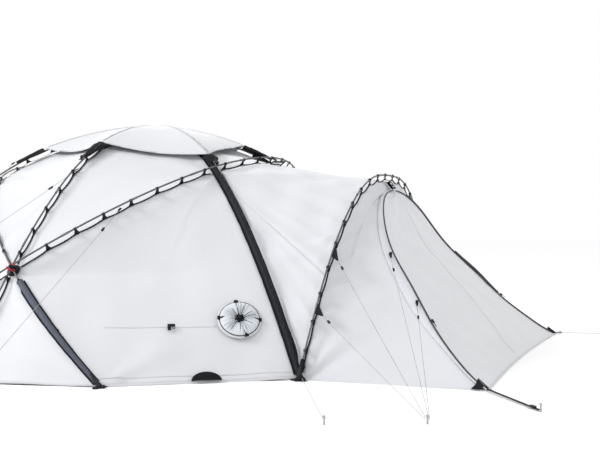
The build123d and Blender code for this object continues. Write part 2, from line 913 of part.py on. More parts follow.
def guy_route(name):
    """A guy line's route: its tab, the adjuster, where it gives a little, and its peg."""
    tab, peg = GUYS[name]
    give = Vector(0, 0, -0.006 * (peg - tab).length)
    return [toward(tab, peg, TAB_RADIUS + 0.5), toward(tab, peg, ADJUSTER_AT) + give, peg]


def guy_line(name):
    """A taut line round its route's one slight turn, in one tube."""
    tab, turn, peg = guy_route(name)
    radius = 0.45 * (turn - tab).length / tan(radians((turn - tab).get_angle(peg - turn) / 2))
    path = FilletPolyline(tab, turn, peg, radius=radius)
    return swept(Circle(GUY_RADIUS), path)


def adjuster(name):
    """A line tensioner: a short barrel round the line."""
    _, turn, peg = guy_route(name)
    along = (peg - turn).normalized()
    plane = Plane(origin=turn + along * 75, z_dir=along)
    body = Circle(7) - Circle(GUY_RADIUS + 0.4)
    return extrude(plane * body, 34)


def peg(place):
    """A peg's head and the top of its shank, which goes on into the ground."""
    return upright(place, 4, PEG_HEIGHT) + Pos(place.X, place.Y, PEG_HEIGHT) * Cylinder(9, 5)


def guy_tabs():
    """The small sewn loops that the guy lines start from."""
    return [Pos(*tab) * Sphere(TAB_RADIUS) for tab, _ in GUYS.values()]


def front_strap():
    """The flat strap from the vestibule's near front corner to its peg."""
    start = Vector(FRONT_X + 6, -FRONT_HALF_WIDTH - 20, 14)
    end = STRAP_PEG + Vector(-8, 10, 8)
    along = (end - start).normalized()
    across = Vector(-along.Y, along.X, 0).normalized()
    plane = Plane(origin=start, x_dir=across, z_dir=along)
    return extrude(plane * Rectangle(20, 3), (end - start).length)


def write(name, shape):
    solids = shape if isinstance(shape, list) else [shape]
    parts = [solid for item in solids for solid in item.solids()]
    export_step(Compound(children=[Solid(s.wrapped) for s in parts]), f"parts/{name}.step")


def main():
    os.makedirs("parts", exist_ok=True)
    write("groundsheet", groundsheet())
    walls = {
        "wall_near_front": [wall_panel(FRONT)],
        "wall_near_middle": middle_panels(),
        "wall_near_rear": [wall_panel(REAR)],
        "roof_near": roof_panels(),
    }
    for name, solids in walls.items():
        write(name, solids)
        write(name.replace("near", "far"), mirrored(solids))
    write("front_wall", end_wall(FRONT, doorway=True))
    write("rear_wall", end_wall(REAR, doorway=False))
    write("roof_ends", [end_roof(FRONT), end_roof(REAR)])
    write("inner_door", inner_door())
    write("roof_cap", roof_cap())
    write("cap_straps", cap_straps())

    side = vestibule_panel(0.004, 0.3)
    write("vestibule_side_near", side)
    write("vestibule_side_far", mirrored([side]))
    write("vestibule_roof", vestibule_panel(0.302, 0.698))
    write("front_panel_near", front_side_panel())
    write("front_panel_far", mirrored([front_side_panel()]))
    write("front_door", front_door())

    for name in POLES:
        write(f"pole_{name}", pole(name))
    write("pole_ferrules", ferrules())
    write("sleeve_main_near", sleeve("main_near"))
    write("sleeve_main_far", sleeve("main_far"))
    write("sleeve_side_arches", sleeve("side_front") + sleeve("side_rear"))
    write("clip_webbing", webbing())
    write("clips_main", clips_along("main_near") + clips_along("main_far"))
    write("clips_cross", clips_along("cross_near") + clips_along("cross_far"))
    write("clips_side_arches", clips_along("side_front") + clips_along("side_rear"))
    write("clips_vestibule", hoop_clips())
    write("hub_plates", [hub(NEAR), hub(FAR)])
    write("pole_feet", feet())

    write("vent_tunnel", vent())
    write("vent_toggle", vent_toggle())
    write("port_flap", port_flap())
    for side, name in ((NEAR, "near"), (FAR, "far")):
        place, along = slider_axis(side)
        write(f"zip_slider_{name}", slider(place, along))
    for name in GUYS:
        write(f"guy_{name}", guy_line(name))
    for name in WITH_ADJUSTER:
        write(f"adjuster_{name}", adjuster(name))
    write("guy_tabs", guy_tabs())
    write("front_strap", front_strap())
    write("pegs", [peg(p) for p in (FRONT_PEG, POLE_PEG, SIDE_PEG, CROSS_PEG, STRAP_PEG, FAR_PEG)])


if __name__ == "__main__":
    main()
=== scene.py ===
"""An expedition dome tent with an arched vestibule, dressed for rendering.

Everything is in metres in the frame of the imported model: +X to the vestibule, +Z up, -Y the near side.
The dome is a paraboloid; "lift" is a distance outwards from it.
"""

import math

import bpy
import numpy as np
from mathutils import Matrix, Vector


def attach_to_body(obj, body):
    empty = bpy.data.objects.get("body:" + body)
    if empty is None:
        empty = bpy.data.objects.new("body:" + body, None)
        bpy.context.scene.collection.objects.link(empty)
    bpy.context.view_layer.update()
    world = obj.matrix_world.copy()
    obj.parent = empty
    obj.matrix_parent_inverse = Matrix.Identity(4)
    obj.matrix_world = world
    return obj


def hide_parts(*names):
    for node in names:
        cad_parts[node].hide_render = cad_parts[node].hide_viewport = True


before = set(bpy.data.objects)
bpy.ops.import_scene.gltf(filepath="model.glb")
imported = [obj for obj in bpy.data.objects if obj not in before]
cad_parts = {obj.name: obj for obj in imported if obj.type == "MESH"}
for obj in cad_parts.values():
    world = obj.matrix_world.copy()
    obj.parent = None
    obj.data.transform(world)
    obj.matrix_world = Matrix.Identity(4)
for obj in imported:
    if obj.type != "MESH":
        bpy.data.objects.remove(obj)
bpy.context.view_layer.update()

# ---- the tent's driving dimensions ------------------------------------------------------------------

BASE = 2.6
PEAK = 1.855
MAIN_ANGLE = math.radians(40.5)
SIDE_FOOT = 0.918
HUB_Z = 0.695
HOOP_X, HOOP_HALF, HOOP_TOP = 1.985, 1.745, 1.412
HOOP_LEAN, HOOP_POWER, HOOP_GAP = math.radians(5), 2.68, 0.052
FRONT_X, FRONT_HALF = 3.225, 1.71
ZIP_POINTS = [
    (2.150, 0.0, 1.282),
    (2.222, -0.575, 1.135),
    (2.376, -0.890, 0.838),
    (2.572, -1.105, 0.603),
    (2.768, -1.320, 0.368),
    (2.995, -1.550, 0.152),
    (3.225, -1.710, 0.001),
]
POLE_R = 0.0065
SLEEVE_LIFT, MAIN_LIFT, CROSS_LIFT = 0.026, 0.048, 0.046
FRONT_ARCH_LIFT, REAR_ARCH_LIFT = 0.062, 0.030
APEX_LIFT = {"main_near": 0.030, "main_far": 0.046, "cross": 0.062}
CAP_LIFT, CAP_PEAK_LIFT, CAP_SLOPE, CAP_SWELL = 0.068, 0.018, 1.1, 0.009
DIP, DIP_START, DIP_END = 0.065, 0.25, 1.30  # how the roof is lowered near the peak
CLIP_PITCH = 0.22
CLIP_PULL = 0.010  # how far a clip draws the fabric out towards its pole
TAPE_LIFT = 0.004
NEAR, FAR, FRONT, REAR = -1, 1, 1, -1


def vec(*xyz):
    return np.array(xyz, float)


def unit(v):
    v = np.asarray(v, float)
    return v / np.maximum(np.linalg.norm(v, axis=-1, keepdims=True), 1e-12)


def ramp(value, start, end):
    share = np.clip((np.asarray(value, float) - start) / (end - start), 0, 1)
    return share * share * (3 - 2 * share)


# ---- lines on the dome, each a function of an array and giving an array of points ----------------------


def radius_at(z):
    return BASE * np.sqrt(np.maximum(0, 1 - np.asarray(z, float) / PEAK))


def outward(p):
    slope = 2 * PEAK / BASE**2
    return unit(np.stack([p[..., 0] * slope, p[..., 1] * slope, np.ones(p.shape[:-1])], -1))


def stack(x, y, z):
    x, y, z = np.broadcast_arrays(np.asarray(x, float), y, z)
    return np.stack([x, y, z], -1)


def main_line(z, end, side):
    r = radius_at(z)
    return stack(end * r * math.cos(MAIN_ANGLE), side * r * math.sin(MAIN_ANGLE), z)


def cross_line(z, side):
    return stack(0 * np.asarray(z, float), side * radius_at(z), z)


def arch_x(z):
    return SIDE_FOOT * (np.asarray(z, float) / HUB_Z - 1)


def arch_line(z, end, side):
    x = arch_x(z)
    return stack(end * x, side * np.sqrt(np.maximum(0, radius_at(z) ** 2 - x**2)), z)


def solve(function, low, high):
    for _ in range(60):
        middle = (low + high) / 2
        low, high = (low, middle) if function(middle) > 0 else (middle, high)
    return (low + high) / 2


RIDGE_Z = solve(lambda z: arch_x(z) - radius_at(z), 0, PEAK)
SHOULDER_Z = solve(lambda z: arch_x(z) - radius_at(z) * math.cos(MAIN_ANGLE), 0, PEAK)
HUB_T = 0.5 - 0.5 * math.sqrt(1 - HUB_Z / RIDGE_Z)


def main_fabric(side):
    def path(t):
        reach = BASE * (1 - 2 * np.asarray(t, float))
        z = PEAK * (1 - (reach / BASE) ** 2)
        return stack(reach * math.cos(MAIN_ANGLE), side * reach * math.sin(MAIN_ANGLE), z)

    return path


def cross_fabric(t):
    reach = BASE * (2 * np.asarray(t, float) - 1)
    return stack(0 * reach, reach, PEAK * (1 - (reach / BASE) ** 2))


def arch_fabric(end):
    def path(t):
        t = np.asarray(t, float)
        z = RIDGE_Z * (1 - (2 * t - 1) ** 2)
        return arch_line(z, end, np.where(t < 0.5, NEAR, FAR))

    return path


def hoop_at(t, inset):
    t = np.asarray(t, float)
    width, height = HOOP_HALF - inset, HOOP_TOP - inset
    y = -width * np.abs(np.cos(np.pi * t)) ** (1.25 / HOOP_POWER) * np.where(t < 0.5, 1, -1)
    z = height * (1 - np.abs(y / width) ** HOOP_POWER)
    return stack(HOOP_X + z * math.tan(HOOP_LEAN), y, z)


def hoop_out(t):
    """The hoop's outward direction in its own plane."""
    return unit(hoop_at(t, 0) - hoop_at(t, HOOP_GAP))


def sunk(p):
    """Points of the dome, lowered near the peak so that the crossing poles fit under the cap."""
    fade = 1 - ramp(np.hypot(p[..., 0], p[..., 1]), DIP_START, DIP_END)
    return p - fade[..., None] * vec(0, 0, DIP)


def lifted(path, lift):
    def raised(t):
        p = path(t)
        return sunk(p) + outward(p) * np.asarray(lift(np.asarray(t, float)))[..., None]

    return raised


def main_lift(side):
    apex = APEX_LIFT["main_near" if side == NEAR else "main_far"]

    def lift(t):
        front = SLEEVE_LIFT + (apex - SLEEVE_LIFT) * ramp(t, 0.36, 0.47)
        return np.where(t < 0.5, front, apex + (MAIN_LIFT - apex) * ramp(t, 0.53, 0.62))

    return lift


def cross_lift(t):
    return CROSS_LIFT + (APEX_LIFT["cross"] - CROSS_LIFT) * ramp(-np.abs(t - 0.5), -0.14, -0.04)


def front_arch_lift(t):
    return FRONT_ARCH_LIFT + (SLEEVE_LIFT - FRONT_ARCH_LIFT) * ramp(t, 0.878, 0.915)


def rear_arch_lift(t):
    return REAR_ARCH_LIFT + (SLEEVE_LIFT - REAR_ARCH_LIFT) * ramp(-t, -0.13, -0.06)


POLES = {
    "main_near": lifted(main_fabric(NEAR), main_lift(NEAR)),
    "main_far": lifted(main_fabric(FAR), main_lift(FAR)),
    "cross": lifted(cross_fabric, cross_lift),
    "side_front": lifted(arch_fabric(FRONT), front_arch_lift),
    "side_rear": lifted(arch_fabric(REAR), rear_arch_lift),
    "hoop": lambda t: hoop_at(t, 0),
}
LINES = {  # each run of webbing: its line on the fabric, its pole, and its start and end
    "main_near": (main_fabric(NEAR), "main_near", 0.59, 0.985),
    "main_far": (main_fabric(FAR), "main_far", 0.59, 0.985),
    "cross_near": (cross_fabric, "cross", 0.015, 0.36),
    "cross_far": (cross_fabric, "cross", 0.64, 0.985),
    "side_front": (arch_fabric(FRONT), "side_front", 0.015, 1 - HUB_T),
    "side_rear": (arch_fabric(REAR), "side_rear", HUB_T, 0.985),
}
SLEEVES = {
    "main_near": (0.004, 0.33),
    "main_far": (0.004, 0.33),
    "side_rear": (0.004, HUB_T - 0.016),
    "side_front": (1 - HUB_T + 0.028, 0.996),
}


def along(points):
    return np.concatenate([[0], np.cumsum(np.linalg.norm(np.diff(points, axis=0), axis=1))])


def evenly(path, count, start=0.0, end=1.0):
    """Parameters from start to end that cut a path into count stretches of one length."""
    t = np.linspace(start, end, 1200)
    s = along(path(t))
    return np.interp(np.linspace(0, s[-1], count + 1), s, t)


def length_of(path, start=0.0, end=1.0):
    return float(along(path(np.linspace(start, end, 400)))[-1])


CROSSINGS = [cross_line(HUB_Z, s) for s in (NEAR, FAR)]
CROSSINGS += [main_line(SHOULDER_Z, e, s) for e in (FRONT, REAR) for s in (NEAR, FAR)]


def clip_places(name):
    """The parameters of the clips along a run of webbing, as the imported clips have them."""
    path, _, start, end = LINES[name]
    cuts = evenly(path, round(length_of(path, start, end) / CLIP_PITCH), start, end)[:-1]
    kept = []
    for t in cuts:
        p = path(t)
        clear = all(np.linalg.norm(p - c) >= 0.075 for c in CROSSINGS)
        if clear and p[2] > 0.06 and t >= 0.03:
            kept.append(t)
    return kept


def hoop_tape(t):
    return hoop_at(t, HOOP_GAP - 0.008)


HOOP_CUTS = evenly(hoop_tape, round(length_of(hoop_tape) / 0.205))[1:-1]
CLIP_BASES = np.array([LINES[n][0](t) for n in LINES for t in clip_places(n)])


def clip_bump(p, reach=0.05):
    """How far the fabric is drawn outwards at points near the clips."""
    flat = p.reshape(-1, 3)
    lift = np.zeros(len(flat))
    for base in CLIP_BASES:
        near = np.abs(flat - base).max(axis=1) < 3 * reach
        d = np.linalg.norm(flat[near] - base, axis=1)
        lift[near] = np.maximum(lift[near], CLIP_PULL * np.exp(-((d / reach) ** 2)))
    return lift.reshape(p.shape[:-1])


# ---- meshes -----------------------------------------------------------------------------------------


class Mesh:
    """Collects vertices and faces for one piece."""

    def __init__(self):
        self.points, self.faces, self.uvs = [], [], []

    def add(self, points, faces, uv=None):
        start = sum(len(p) for p in self.points)
        points = np.asarray(points, float).reshape(-1, 3)
        self.points.append(points)
        self.faces += [tuple(int(i) + start for i in f) for f in faces]
        self.uvs.append(points[:, :2] if uv is None else np.asarray(uv, float).reshape(-1, 2))
        return self

    def grid(self, p, closed=False, uv=None):
        """A sheet of quads over an array of rows of points; closed joins each row's ends."""
        rows, cols = p.shape[:2]
        wide = cols if closed else cols - 1
        i, j = np.meshgrid(np.arange(rows - 1), np.arange(wide), indexing="ij")
        k = (j + 1) % cols
        quads = np.stack([i * cols + j, i * cols + k, (i + 1) * cols + k, (i + 1) * cols + j], -1)
        if uv is None:
            down = np.cumsum(np.linalg.norm(np.diff(p, axis=0, prepend=p[:1]), axis=2).mean(1))
            over = np.cumsum(np.linalg.norm(np.diff(p, axis=1, prepend=p[:, :1]), axis=2), 1)
            uv = np.stack([over - over.mean(1, keepdims=True), np.repeat(down[:, None], cols, 1)], -1)
        return self.add(p, quads.reshape(-1, 4), uv)

    def tube(self, points, radius, sides=8, caps=True):
        """A round tube along points; radius is one number or one for each point."""
        points = np.asarray(points, float)
        radius = np.broadcast_to(radius, len(points))
        tangent = unit(np.gradient(points, axis=0))
        normal = np.zeros_like(tangent)
        guess = vec(0, 0, 1) if abs(tangent[0][2]) < 0.9 else vec(1, 0, 0)
        for n, t in enumerate(tangent):
            guess = unit(guess - t * guess.dot(t))
            normal[n] = guess
        other = np.cross(tangent, normal)
        turn = np.linspace(0, 2 * np.pi, sides, endpoint=False)
        ring = np.cos(turn)[None, :, None] * normal[:, None] + np.sin(turn)[None, :, None] * other[:, None]
        p = points[:, None] + ring * radius[:, None, None]
        self.grid(p, closed=True)
        if caps:
            last = (len(points) - 1) * sides
            start = sum(len(q) for q in self.points) - len(points) * sides
            self.faces.append(tuple(start + i for i in reversed(range(sides))))
            self.faces.append(tuple(start + last + i for i in range(sides)))
        return self

    def strap(self, points, across, width, thick):
        """A flat closed band along points; across is the direction of its width at each."""
        points = np.asarray(points, float)
        across = unit(np.broadcast_to(across, points.shape))
        tangent = unit(np.gradient(points, axis=0))
        up = unit(np.cross(tangent, across))
        width = np.broadcast_to(width, len(points))[:, None] / 2
        thick = np.broadcast_to(thick, len(points))[:, None] / 2
        corners = [(-1, -1), (1, -1), (1, 1), (-1, 1)]
        p = np.stack([points + across * width * a + up * thick * b for a, b in corners], 1)
        self.grid(p, closed=True)
        start = sum(len(q) for q in self.points) - 4 * len(points)
        self.faces.append((start + 3, start + 2, start + 1, start))
        end = start + 4 * (len(points) - 1)
        self.faces.append((end, end + 1, end + 2, end + 3))
        return self

    def box(self, centre, axes, size, bevel=0.0):
        """A block with bevelled corners: axes are three directions, size its three lengths."""
        x, y, z = [unit(vec(*a)) * s / 2 for a, s in zip(axes, size)]
        b = bevel / max(size[0], 1e-9) * 2
        c = bevel / max(size[1], 1e-9) * 2
        outline = [(1, 1 - c), (1 - b, 1), (b - 1, 1), (-1, 1 - c), (-1, c - 1), (b - 1, -1), (1 - b, -1), (1, c - 1)]
        if not bevel:
            outline = [(1, 1), (-1, 1), (-1, -1), (1, -1)]
        low = [vec(*centre) + x * p + y * q - z for p, q in outline]
        high = [v + 2 * z for v in low]
        n = len(outline)
        faces = [tuple(reversed(range(n))), tuple(range(n, 2 * n))]
        faces += [(i, (i + 1) % n, n + (i + 1) % n, n + i) for i in range(n)]
        return self.add(low + high, faces)

    def plate(self, outline, thickness):
        """A flat closed plate: an outline of points and its thickness as a vector."""
        low = np.asarray(outline, float) - np.asarray(thickness, float) / 2
        high = low + np.asarray(thickness, float)
        n = len(low)
        faces = [tuple(reversed(range(n))), tuple(range(n, 2 * n))]
        faces += [(i, (i + 1) % n, n + (i + 1) % n, n + i) for i in range(n)]
        return self.add(np.concatenate([low, high]), faces)

    def ring(self, centre, axis, radius, thick, sides=20, tube_sides=8):
        """A closed ring of round section."""
        axis = unit(vec(*axis))
        x = unit(np.cross(axis, vec(0, 0, 1) if abs(axis[2]) < 0.9 else vec(1, 0, 0)))
        y = np.cross(axis, x)
        a = np.linspace(0, 2 * np.pi, sides, endpoint=False)[:, None, None]
        b = np.linspace(0, 2 * np.pi, tube_sides, endpoint=False)[None, :, None]
        out = np.cos(a) * x + np.sin(a) * y
        p = vec(*centre) + out * (radius + thick * np.cos(b)) + axis * thick * np.sin(b)
        p = np.concatenate([p, p[:1]])
        return self.grid(p, closed=True)

    def make(self, name, material, smooth=True, body="tent", slot=None, replaces=()):
        mesh = bpy.data.meshes.new(name)
        points = np.concatenate(self.points)
        mesh.from_pydata([tuple(p) for p in points], [], self.faces)
        layer = mesh.uv_layers.new(name="cloth")
        uv = np.concatenate(self.uvs)
        index = np.zeros(len(mesh.loops), np.int32)
        mesh.loops.foreach_get("vertex_index", index)
        layer.data.foreach_set("uv", uv[index].astype(np.float32).ravel())
        mesh.polygons.foreach_set("use_smooth", [smooth] * len(mesh.polygons))
        mesh.validate()
        piece = bpy.data.objects.new(name, mesh)
        bpy.context.scene.collection.objects.link(piece)
        mesh.materials.append(material)
        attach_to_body(piece, body)
        if replaces:
            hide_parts(*replaces)
        return piece


def area_of(p):
    """The area of a grid of points."""
    a, b = np.diff(p, axis=0)[:, :-1], np.diff(p, axis=1)[:-1]
    return float(np.linalg.norm(np.cross(a, b), axis=-1).sum())


# ---- materials --------------------------------------------------------------------------------------


class Shader:
    """A node material: each call adds a node, with inputs given as values or as other nodes' sockets."""

    def __init__(self, name):
        self.material = bpy.data.materials.new(name)
        self.material.use_nodes = True
        self.tree = self.material.node_tree
        self.tree.nodes.clear()

    def node(self, kind, settings=None, out=0, **inputs):
        made = self.tree.nodes.new(kind)
        for key, value in (settings or {}).items():
            setattr(made, key, value)
        for key, value in inputs.items():
            socket = made.inputs[int(key[1:])] if key[0] == "i" and key[1:].isdigit() else made.inputs[key]
            if isinstance(value, bpy.types.NodeSocket):
                self.tree.links.new(value, socket)
            else:
                socket.default_value = value
        return made.outputs[out] if made.outputs else None

    def math(self, operation, a, b=0.0):
        return self.node("ShaderNodeMath", {"operation": operation}, i0=a, i1=b)

    def mix(self, share, a, b):
        made = self.tree.nodes.new("ShaderNodeMix")
        made.data_type = "RGBA"
        for index, value in ((0, share), (6, a), (7, b)):
            if isinstance(value, bpy.types.NodeSocket):
                self.tree.links.new(value, made.inputs[index])
            else:
                made.inputs[index].default_value = value
        return made.outputs[2]

    def noise(self, scale, detail=3.0, where=None):
        where = where or self.node("ShaderNodeTexCoord", out=3)
        return self.node("ShaderNodeTexNoise", Vector=where, Scale=scale, Detail=detail)

    def spread(self, value, low, high):
        """Maps a noise's middle range to low..high."""
        return self.node("ShaderNodeMapRange", i0=value, i1=0.3, i2=0.7, i3=low, i4=high)

    def bump(self, height, strength, distance, below=None):
        inputs = {"Height": height, "Strength": strength, "Distance": distance}
        if below is not None:
            inputs["Normal"] = below
        return self.node("ShaderNodeBump", **inputs)

    def finish(self, colour, roughness, normal, metallic=0.0, sheen=0.0, specular=0.5):
        made = self.tree.nodes.new("ShaderNodeBsdfPrincipled")
        for key, value in (("Base Color", colour), ("Roughness", roughness), ("Normal", normal)):
            if isinstance(value, bpy.types.NodeSocket):
                self.tree.links.new(value, made.inputs[key])
            else:
                made.inputs[key].default_value = value
        made.inputs["Metallic"].default_value = metallic
        made.inputs["Sheen Weight"].default_value = sheen
        made.inputs["Specular IOR Level"].default_value = specular
        self.node("ShaderNodeOutputMaterial", Surface=made.outputs[0])
        return self.material


def tint(colour, factor):
    return tuple(min(1.0, c * factor) for c in colour[:3]) + (1.0,)


def fabric(name, colour, rough=0.6, vary=0.03, rib=0.006, crinkle=0.5, sheen=0.15, gloss=0.35):
    """Coated ripstop: a faint square grid of thicker threads, fine crinkles and an uneven coat."""
    s = Shader(name)
    uv = s.node("ShaderNodeUVMap", {"uv_map": "cloth"})
    split = s.node("ShaderNodeSeparateXYZ", Vector=uv).node
    threads = []
    for axis in (0, 1):
        phase = s.math("MULTIPLY", split.outputs[axis], 2 * math.pi / rib)
        wave = s.math("COSINE", phase)
        threads.append(s.math("POWER", s.math("MAXIMUM", wave, 0.0), 6.0))
    grid = s.math("MAXIMUM", threads[0], threads[1])
    cloud = s.spread(s.noise(1.7, 4.0), 0.0, 1.0)
    coat = s.mix(cloud, tint(colour, 1 - vary), tint(colour, 1 + vary * 0.6))
    ripstop = s.mix(s.math("MULTIPLY", grid, 0.35), coat, tint(colour, 1 - 2.2 * vary))
    creases = s.noise(26.0, 5.0)
    folds = s.noise(5.0, 3.0)
    normal = s.bump(folds, 0.25 * crinkle, 0.03)
    normal = s.bump(creases, 0.3 * crinkle, 0.006, normal)
    normal = s.bump(grid, 0.25, 0.0006, normal)
    roughness = s.spread(s.noise(9.0), rough - 0.07, rough + 0.07)
    return s.finish(ripstop, roughness, normal, sheen=sheen, specular=gloss)


def tape(name, colour, rough=0.8, rib=0.0025):
    """Woven webbing or binding: close diagonal ribs, with a slightly dusty face."""
    s = Shader(name)
    where = s.node("ShaderNodeTexCoord", out=3)
    ribs = s.node("ShaderNodeTexWave", {"bands_direction": "DIAGONAL"}, Vector=where, Scale=0.3 / rib, Distortion=0.6)
    dust = s.spread(s.noise(14.0, 4.0), 0.0, 1.0)
    face = s.mix(dust, tint(colour, 0.8), tint(colour, 1.5))
    normal = s.bump(ribs, 0.5, 0.0008)
    normal = s.bump(s.noise(60.0), 0.3, 0.001, normal)
    return s.finish(face, s.spread(dust, rough - 0.1, rough + 0.05), normal, specular=0.12)


def moulded(name, colour, rough=0.45):
    """Moulded plastic with a fine spark-eroded grain."""
    s = Shader(name)
    patch = s.spread(s.noise(30.0, 4.0), 0.0, 1.0)
    face = s.mix(patch, tint(colour, 0.85), tint(colour, 1.25))
    normal = s.bump(s.noise(900.0, 2.0), 0.25, 0.0004)
    return s.finish(face, s.spread(patch, rough - 0.08, rough + 0.12), normal, specular=0.2)


def metal(name, colour, rough=0.32, metallic=1.0):
    """Drawn or anodised metal: faint lines along it and a slightly cloudy finish."""
    s = Shader(name)
    where = s.node("ShaderNodeTexCoord", out=3)
    cloud = s.spread(s.noise(8.0, 4.0, where), 0.0, 1.0)
    scratches = s.noise(420.0, 2.0, where)
    face = s.mix(cloud, tint(colour, 0.88), tint(colour, 1.08))
    normal = s.bump(scratches, 0.12, 0.0003)
    return s.finish(face, s.spread(cloud, rough - 0.06, rough + 0.1), normal, metallic=metallic)


WHITE = fabric("coated_white", (0.638, 0.643, 0.672, 1), vary=0.018)
# Painted shade: the cap is the canopy's own white cloth, made darker so that the cap, which the key light strikes from
# above, comes out less bright.
CAP_SHADED_WHITE = fabric("cap_white", (0.60, 0.605, 0.63, 1), vary=0.015, rough=0.6)
# Painted shade: the vestibule is the canopy's own white cloth, made a little darker to stand in for the duller light
# on it.
VESTIBULE_SHADED = fabric("vestibule_white_painted_shade", (0.632, 0.638, 0.668, 1), vary=0.02)
DOOR = fabric("door_grey", (0.66, 0.665, 0.69, 1), vary=0.012, rough=0.5, crinkle=0.8)
# Painted shade: the zip flap is the vestibule's own cloth; this grey stands in for the shade along its roll. The wall
# seams use it too.
FLAP_SHADE_GREY = fabric("zip_flap", (0.60, 0.61, 0.65, 1), vary=0.02, crinkle=0.8)
FLOOR_CLOTH = fabric("floor_cloth", (0.13, 0.135, 0.145, 1), vary=0.06, rough=0.5)
SLEEVE = fabric("sleeve_black", (0.014, 0.015, 0.019, 1), vary=0.25, rough=0.5, crinkle=1.0, sheen=0.0, gloss=0.12)
SLEEVE_FACE = fabric("sleeve_grey", (0.085, 0.095, 0.125, 1), vary=0.2, rough=0.5, crinkle=1.2, sheen=0.0, gloss=0.15)
VENT_CLOTH = fabric("vent_cloth", (0.62, 0.65, 0.69, 1), vary=0.04, crinkle=1.0)
PORT = fabric("port_black", (0.010, 0.0105, 0.012, 1), vary=0.2, rough=0.7, sheen=0.0, gloss=0.1)
WEBBING = tape("webbing_black", (0.012, 0.0125, 0.014, 1))
# Grey seam tape; the same grey strip along the zip flap's fold is painted shade.
SEAM_AND_FOLD_SHADE = tape("seam_tape_and_painted_shade", (0.50, 0.505, 0.53, 1), rib=0.002)
ZIP_TAPE = tape("zip_tape", (0.06, 0.062, 0.068, 1), rib=0.002)
CORD = tape("cord_grey", (0.28, 0.29, 0.30, 1), rib=0.0015)
PLASTIC = moulded("black_plastic", (0.013, 0.0135, 0.015, 1))
RED = moulded("red_marker", (0.52, 0.03, 0.03, 1))
POLE = metal("anodised_pole", (0.125, 0.128, 0.135, 1), rough=0.4, metallic=0.8)
FERRULE = metal("bright_ferrule", (0.20, 0.205, 0.21, 1), rough=0.3)
STEEL = metal("peg_steel", (0.46, 0.47, 0.48, 1), rough=0.34)


# ---- camera, light and floor ------------------------------------------------------------------------


def aim(thing, place, direction):
    thing.location = place
    thing.rotation_euler = Vector(direction).to_track_quat("-Z", "Y").to_euler()
    bpy.context.scene.collection.objects.link(thing)
    return thing


def camera():
    data = bpy.data.cameras.new("camera")
    data.sensor_width, data.lens = 36.0, 62.316
    heading, pitch = 0.361, 0.006
    forward = (-math.sin(heading) * math.cos(pitch), math.cos(heading) * math.cos(pitch), -math.sin(pitch))
    made = aim(bpy.data.objects.new("camera", data), (4.399, -8.097, 1.062), forward)
    bpy.context.scene.camera = made


def softbox(name, place, target, size, power):
    data = bpy.data.lights.new(name, "AREA")
    data.shape, data.size, data.energy = "DISK", size, power
    aim(bpy.data.objects.new(name, data), place, Vector(target) - Vector(place))


def studio():
    bpy.context.scene.view_settings.view_transform = "Standard"
    world = bpy.data.worlds.new("studio")
    bpy.context.scene.world = world
    world.use_nodes = True
    world.node_tree.nodes["Background"].inputs[0].default_value = (1, 1, 1, 1)
    world.node_tree.nodes["Background"].inputs[1].default_value = 1.0
    softbox("key", (-7.0, -7.0, 8.0), (0, 0, 0.5), 4.0, 760)
    softbox("back", (-4.0, 8.0, 6.5), (0, 0, 0.8), 6.0, 200)
    floor = Mesh()
    edge = np.linspace(-45, 45, 3)
    x, y = np.meshgrid(edge, edge)
    floor.grid(stack(x, y, 0 * x - 0.001))
    s = Shader("floor")
    tone = s.mix(s.spread(s.noise(3.0), 0.0, 1.0), (0.975, 0.975, 0.975, 1), (0.985, 0.985, 0.985, 1))
    material = s.finish(tone, 0.9, s.bump(s.noise(120.0), 0.05, 0.001), specular=0.1)
    mesh = bpy.data.meshes.new("floor")
    mesh.from_pydata([tuple(p) for p in floor.points[0]], [], floor.faces)
    mesh.materials.append(material)
    made = bpy.data.objects.new("floor", mesh)
    bpy.context.scene.collection.objects.link(made)


# ---- fabric ------------------------------------------------------------------------------------------

CLOTH = 0.0012


def surface(rows, cols, left, right, values, curve=None):
    """A grid ruled between two lines; curve is not used."""
    u = np.linspace(0, 1, cols)
    a, b = left(values), right(values)
    p = a[:, None] + (b - a)[:, None] * u[None, :, None]
    return p


def edge_fade(rows, cols, sides=(1, 1, 1, 1), width=0.12):
    """1 inside a panel and 0 on its edges: bottom, top, left, right where asked."""
    v = np.linspace(0, 1, rows)[:, None]
    u = np.linspace(0, 1, cols)[None, :]
    fade = np.ones((rows, cols))
    for wanted, distance in zip(sides, (v, 1 - v, u, 1 - u)):
        if wanted:
            fade = fade * ramp(distance, 0, width)
    return fade


def ripples(p, seed, size=0.0028):
    """Smooth unevenness: a few long waves in directions of their own."""
    rng = np.random.default_rng(seed)
    height = np.zeros(p.shape[:-1])
    for _ in range(9):
        wave = rng.normal(size=3)
        wave *= (2 * math.pi / rng.uniform(0.22, 0.8)) / np.linalg.norm(wave)
        height += np.sin(p @ wave + rng.uniform(0, 6.28)) * rng.uniform(0.3, 1)
    return height * size / 1.6


def pulls(p, points, seed, size=0.006, reach=0.55, spokes=9):
    """Stretch wrinkles: spokes that run out from the corners where the fabric is held."""
    rng = np.random.default_rng(seed)
    height = np.zeros(p.shape[:-1])
    for place in points:
        offset = p - place
        d = np.linalg.norm(offset, axis=-1)
        flat = np.arctan2(offset[..., 2], np.linalg.norm(offset[..., :2], axis=-1) * np.sign(offset[..., 0] + 1e-9))
        count = spokes + rng.integers(-2, 3)
        wave = np.cos(flat * count + rng.uniform(0, 6.28)) + 0.5 * np.cos(flat * count * 1.7 + rng.uniform(0, 6.28))
        height += wave * np.exp(-d / reach) * ramp(d, 0.02, 0.16) * size
    return height


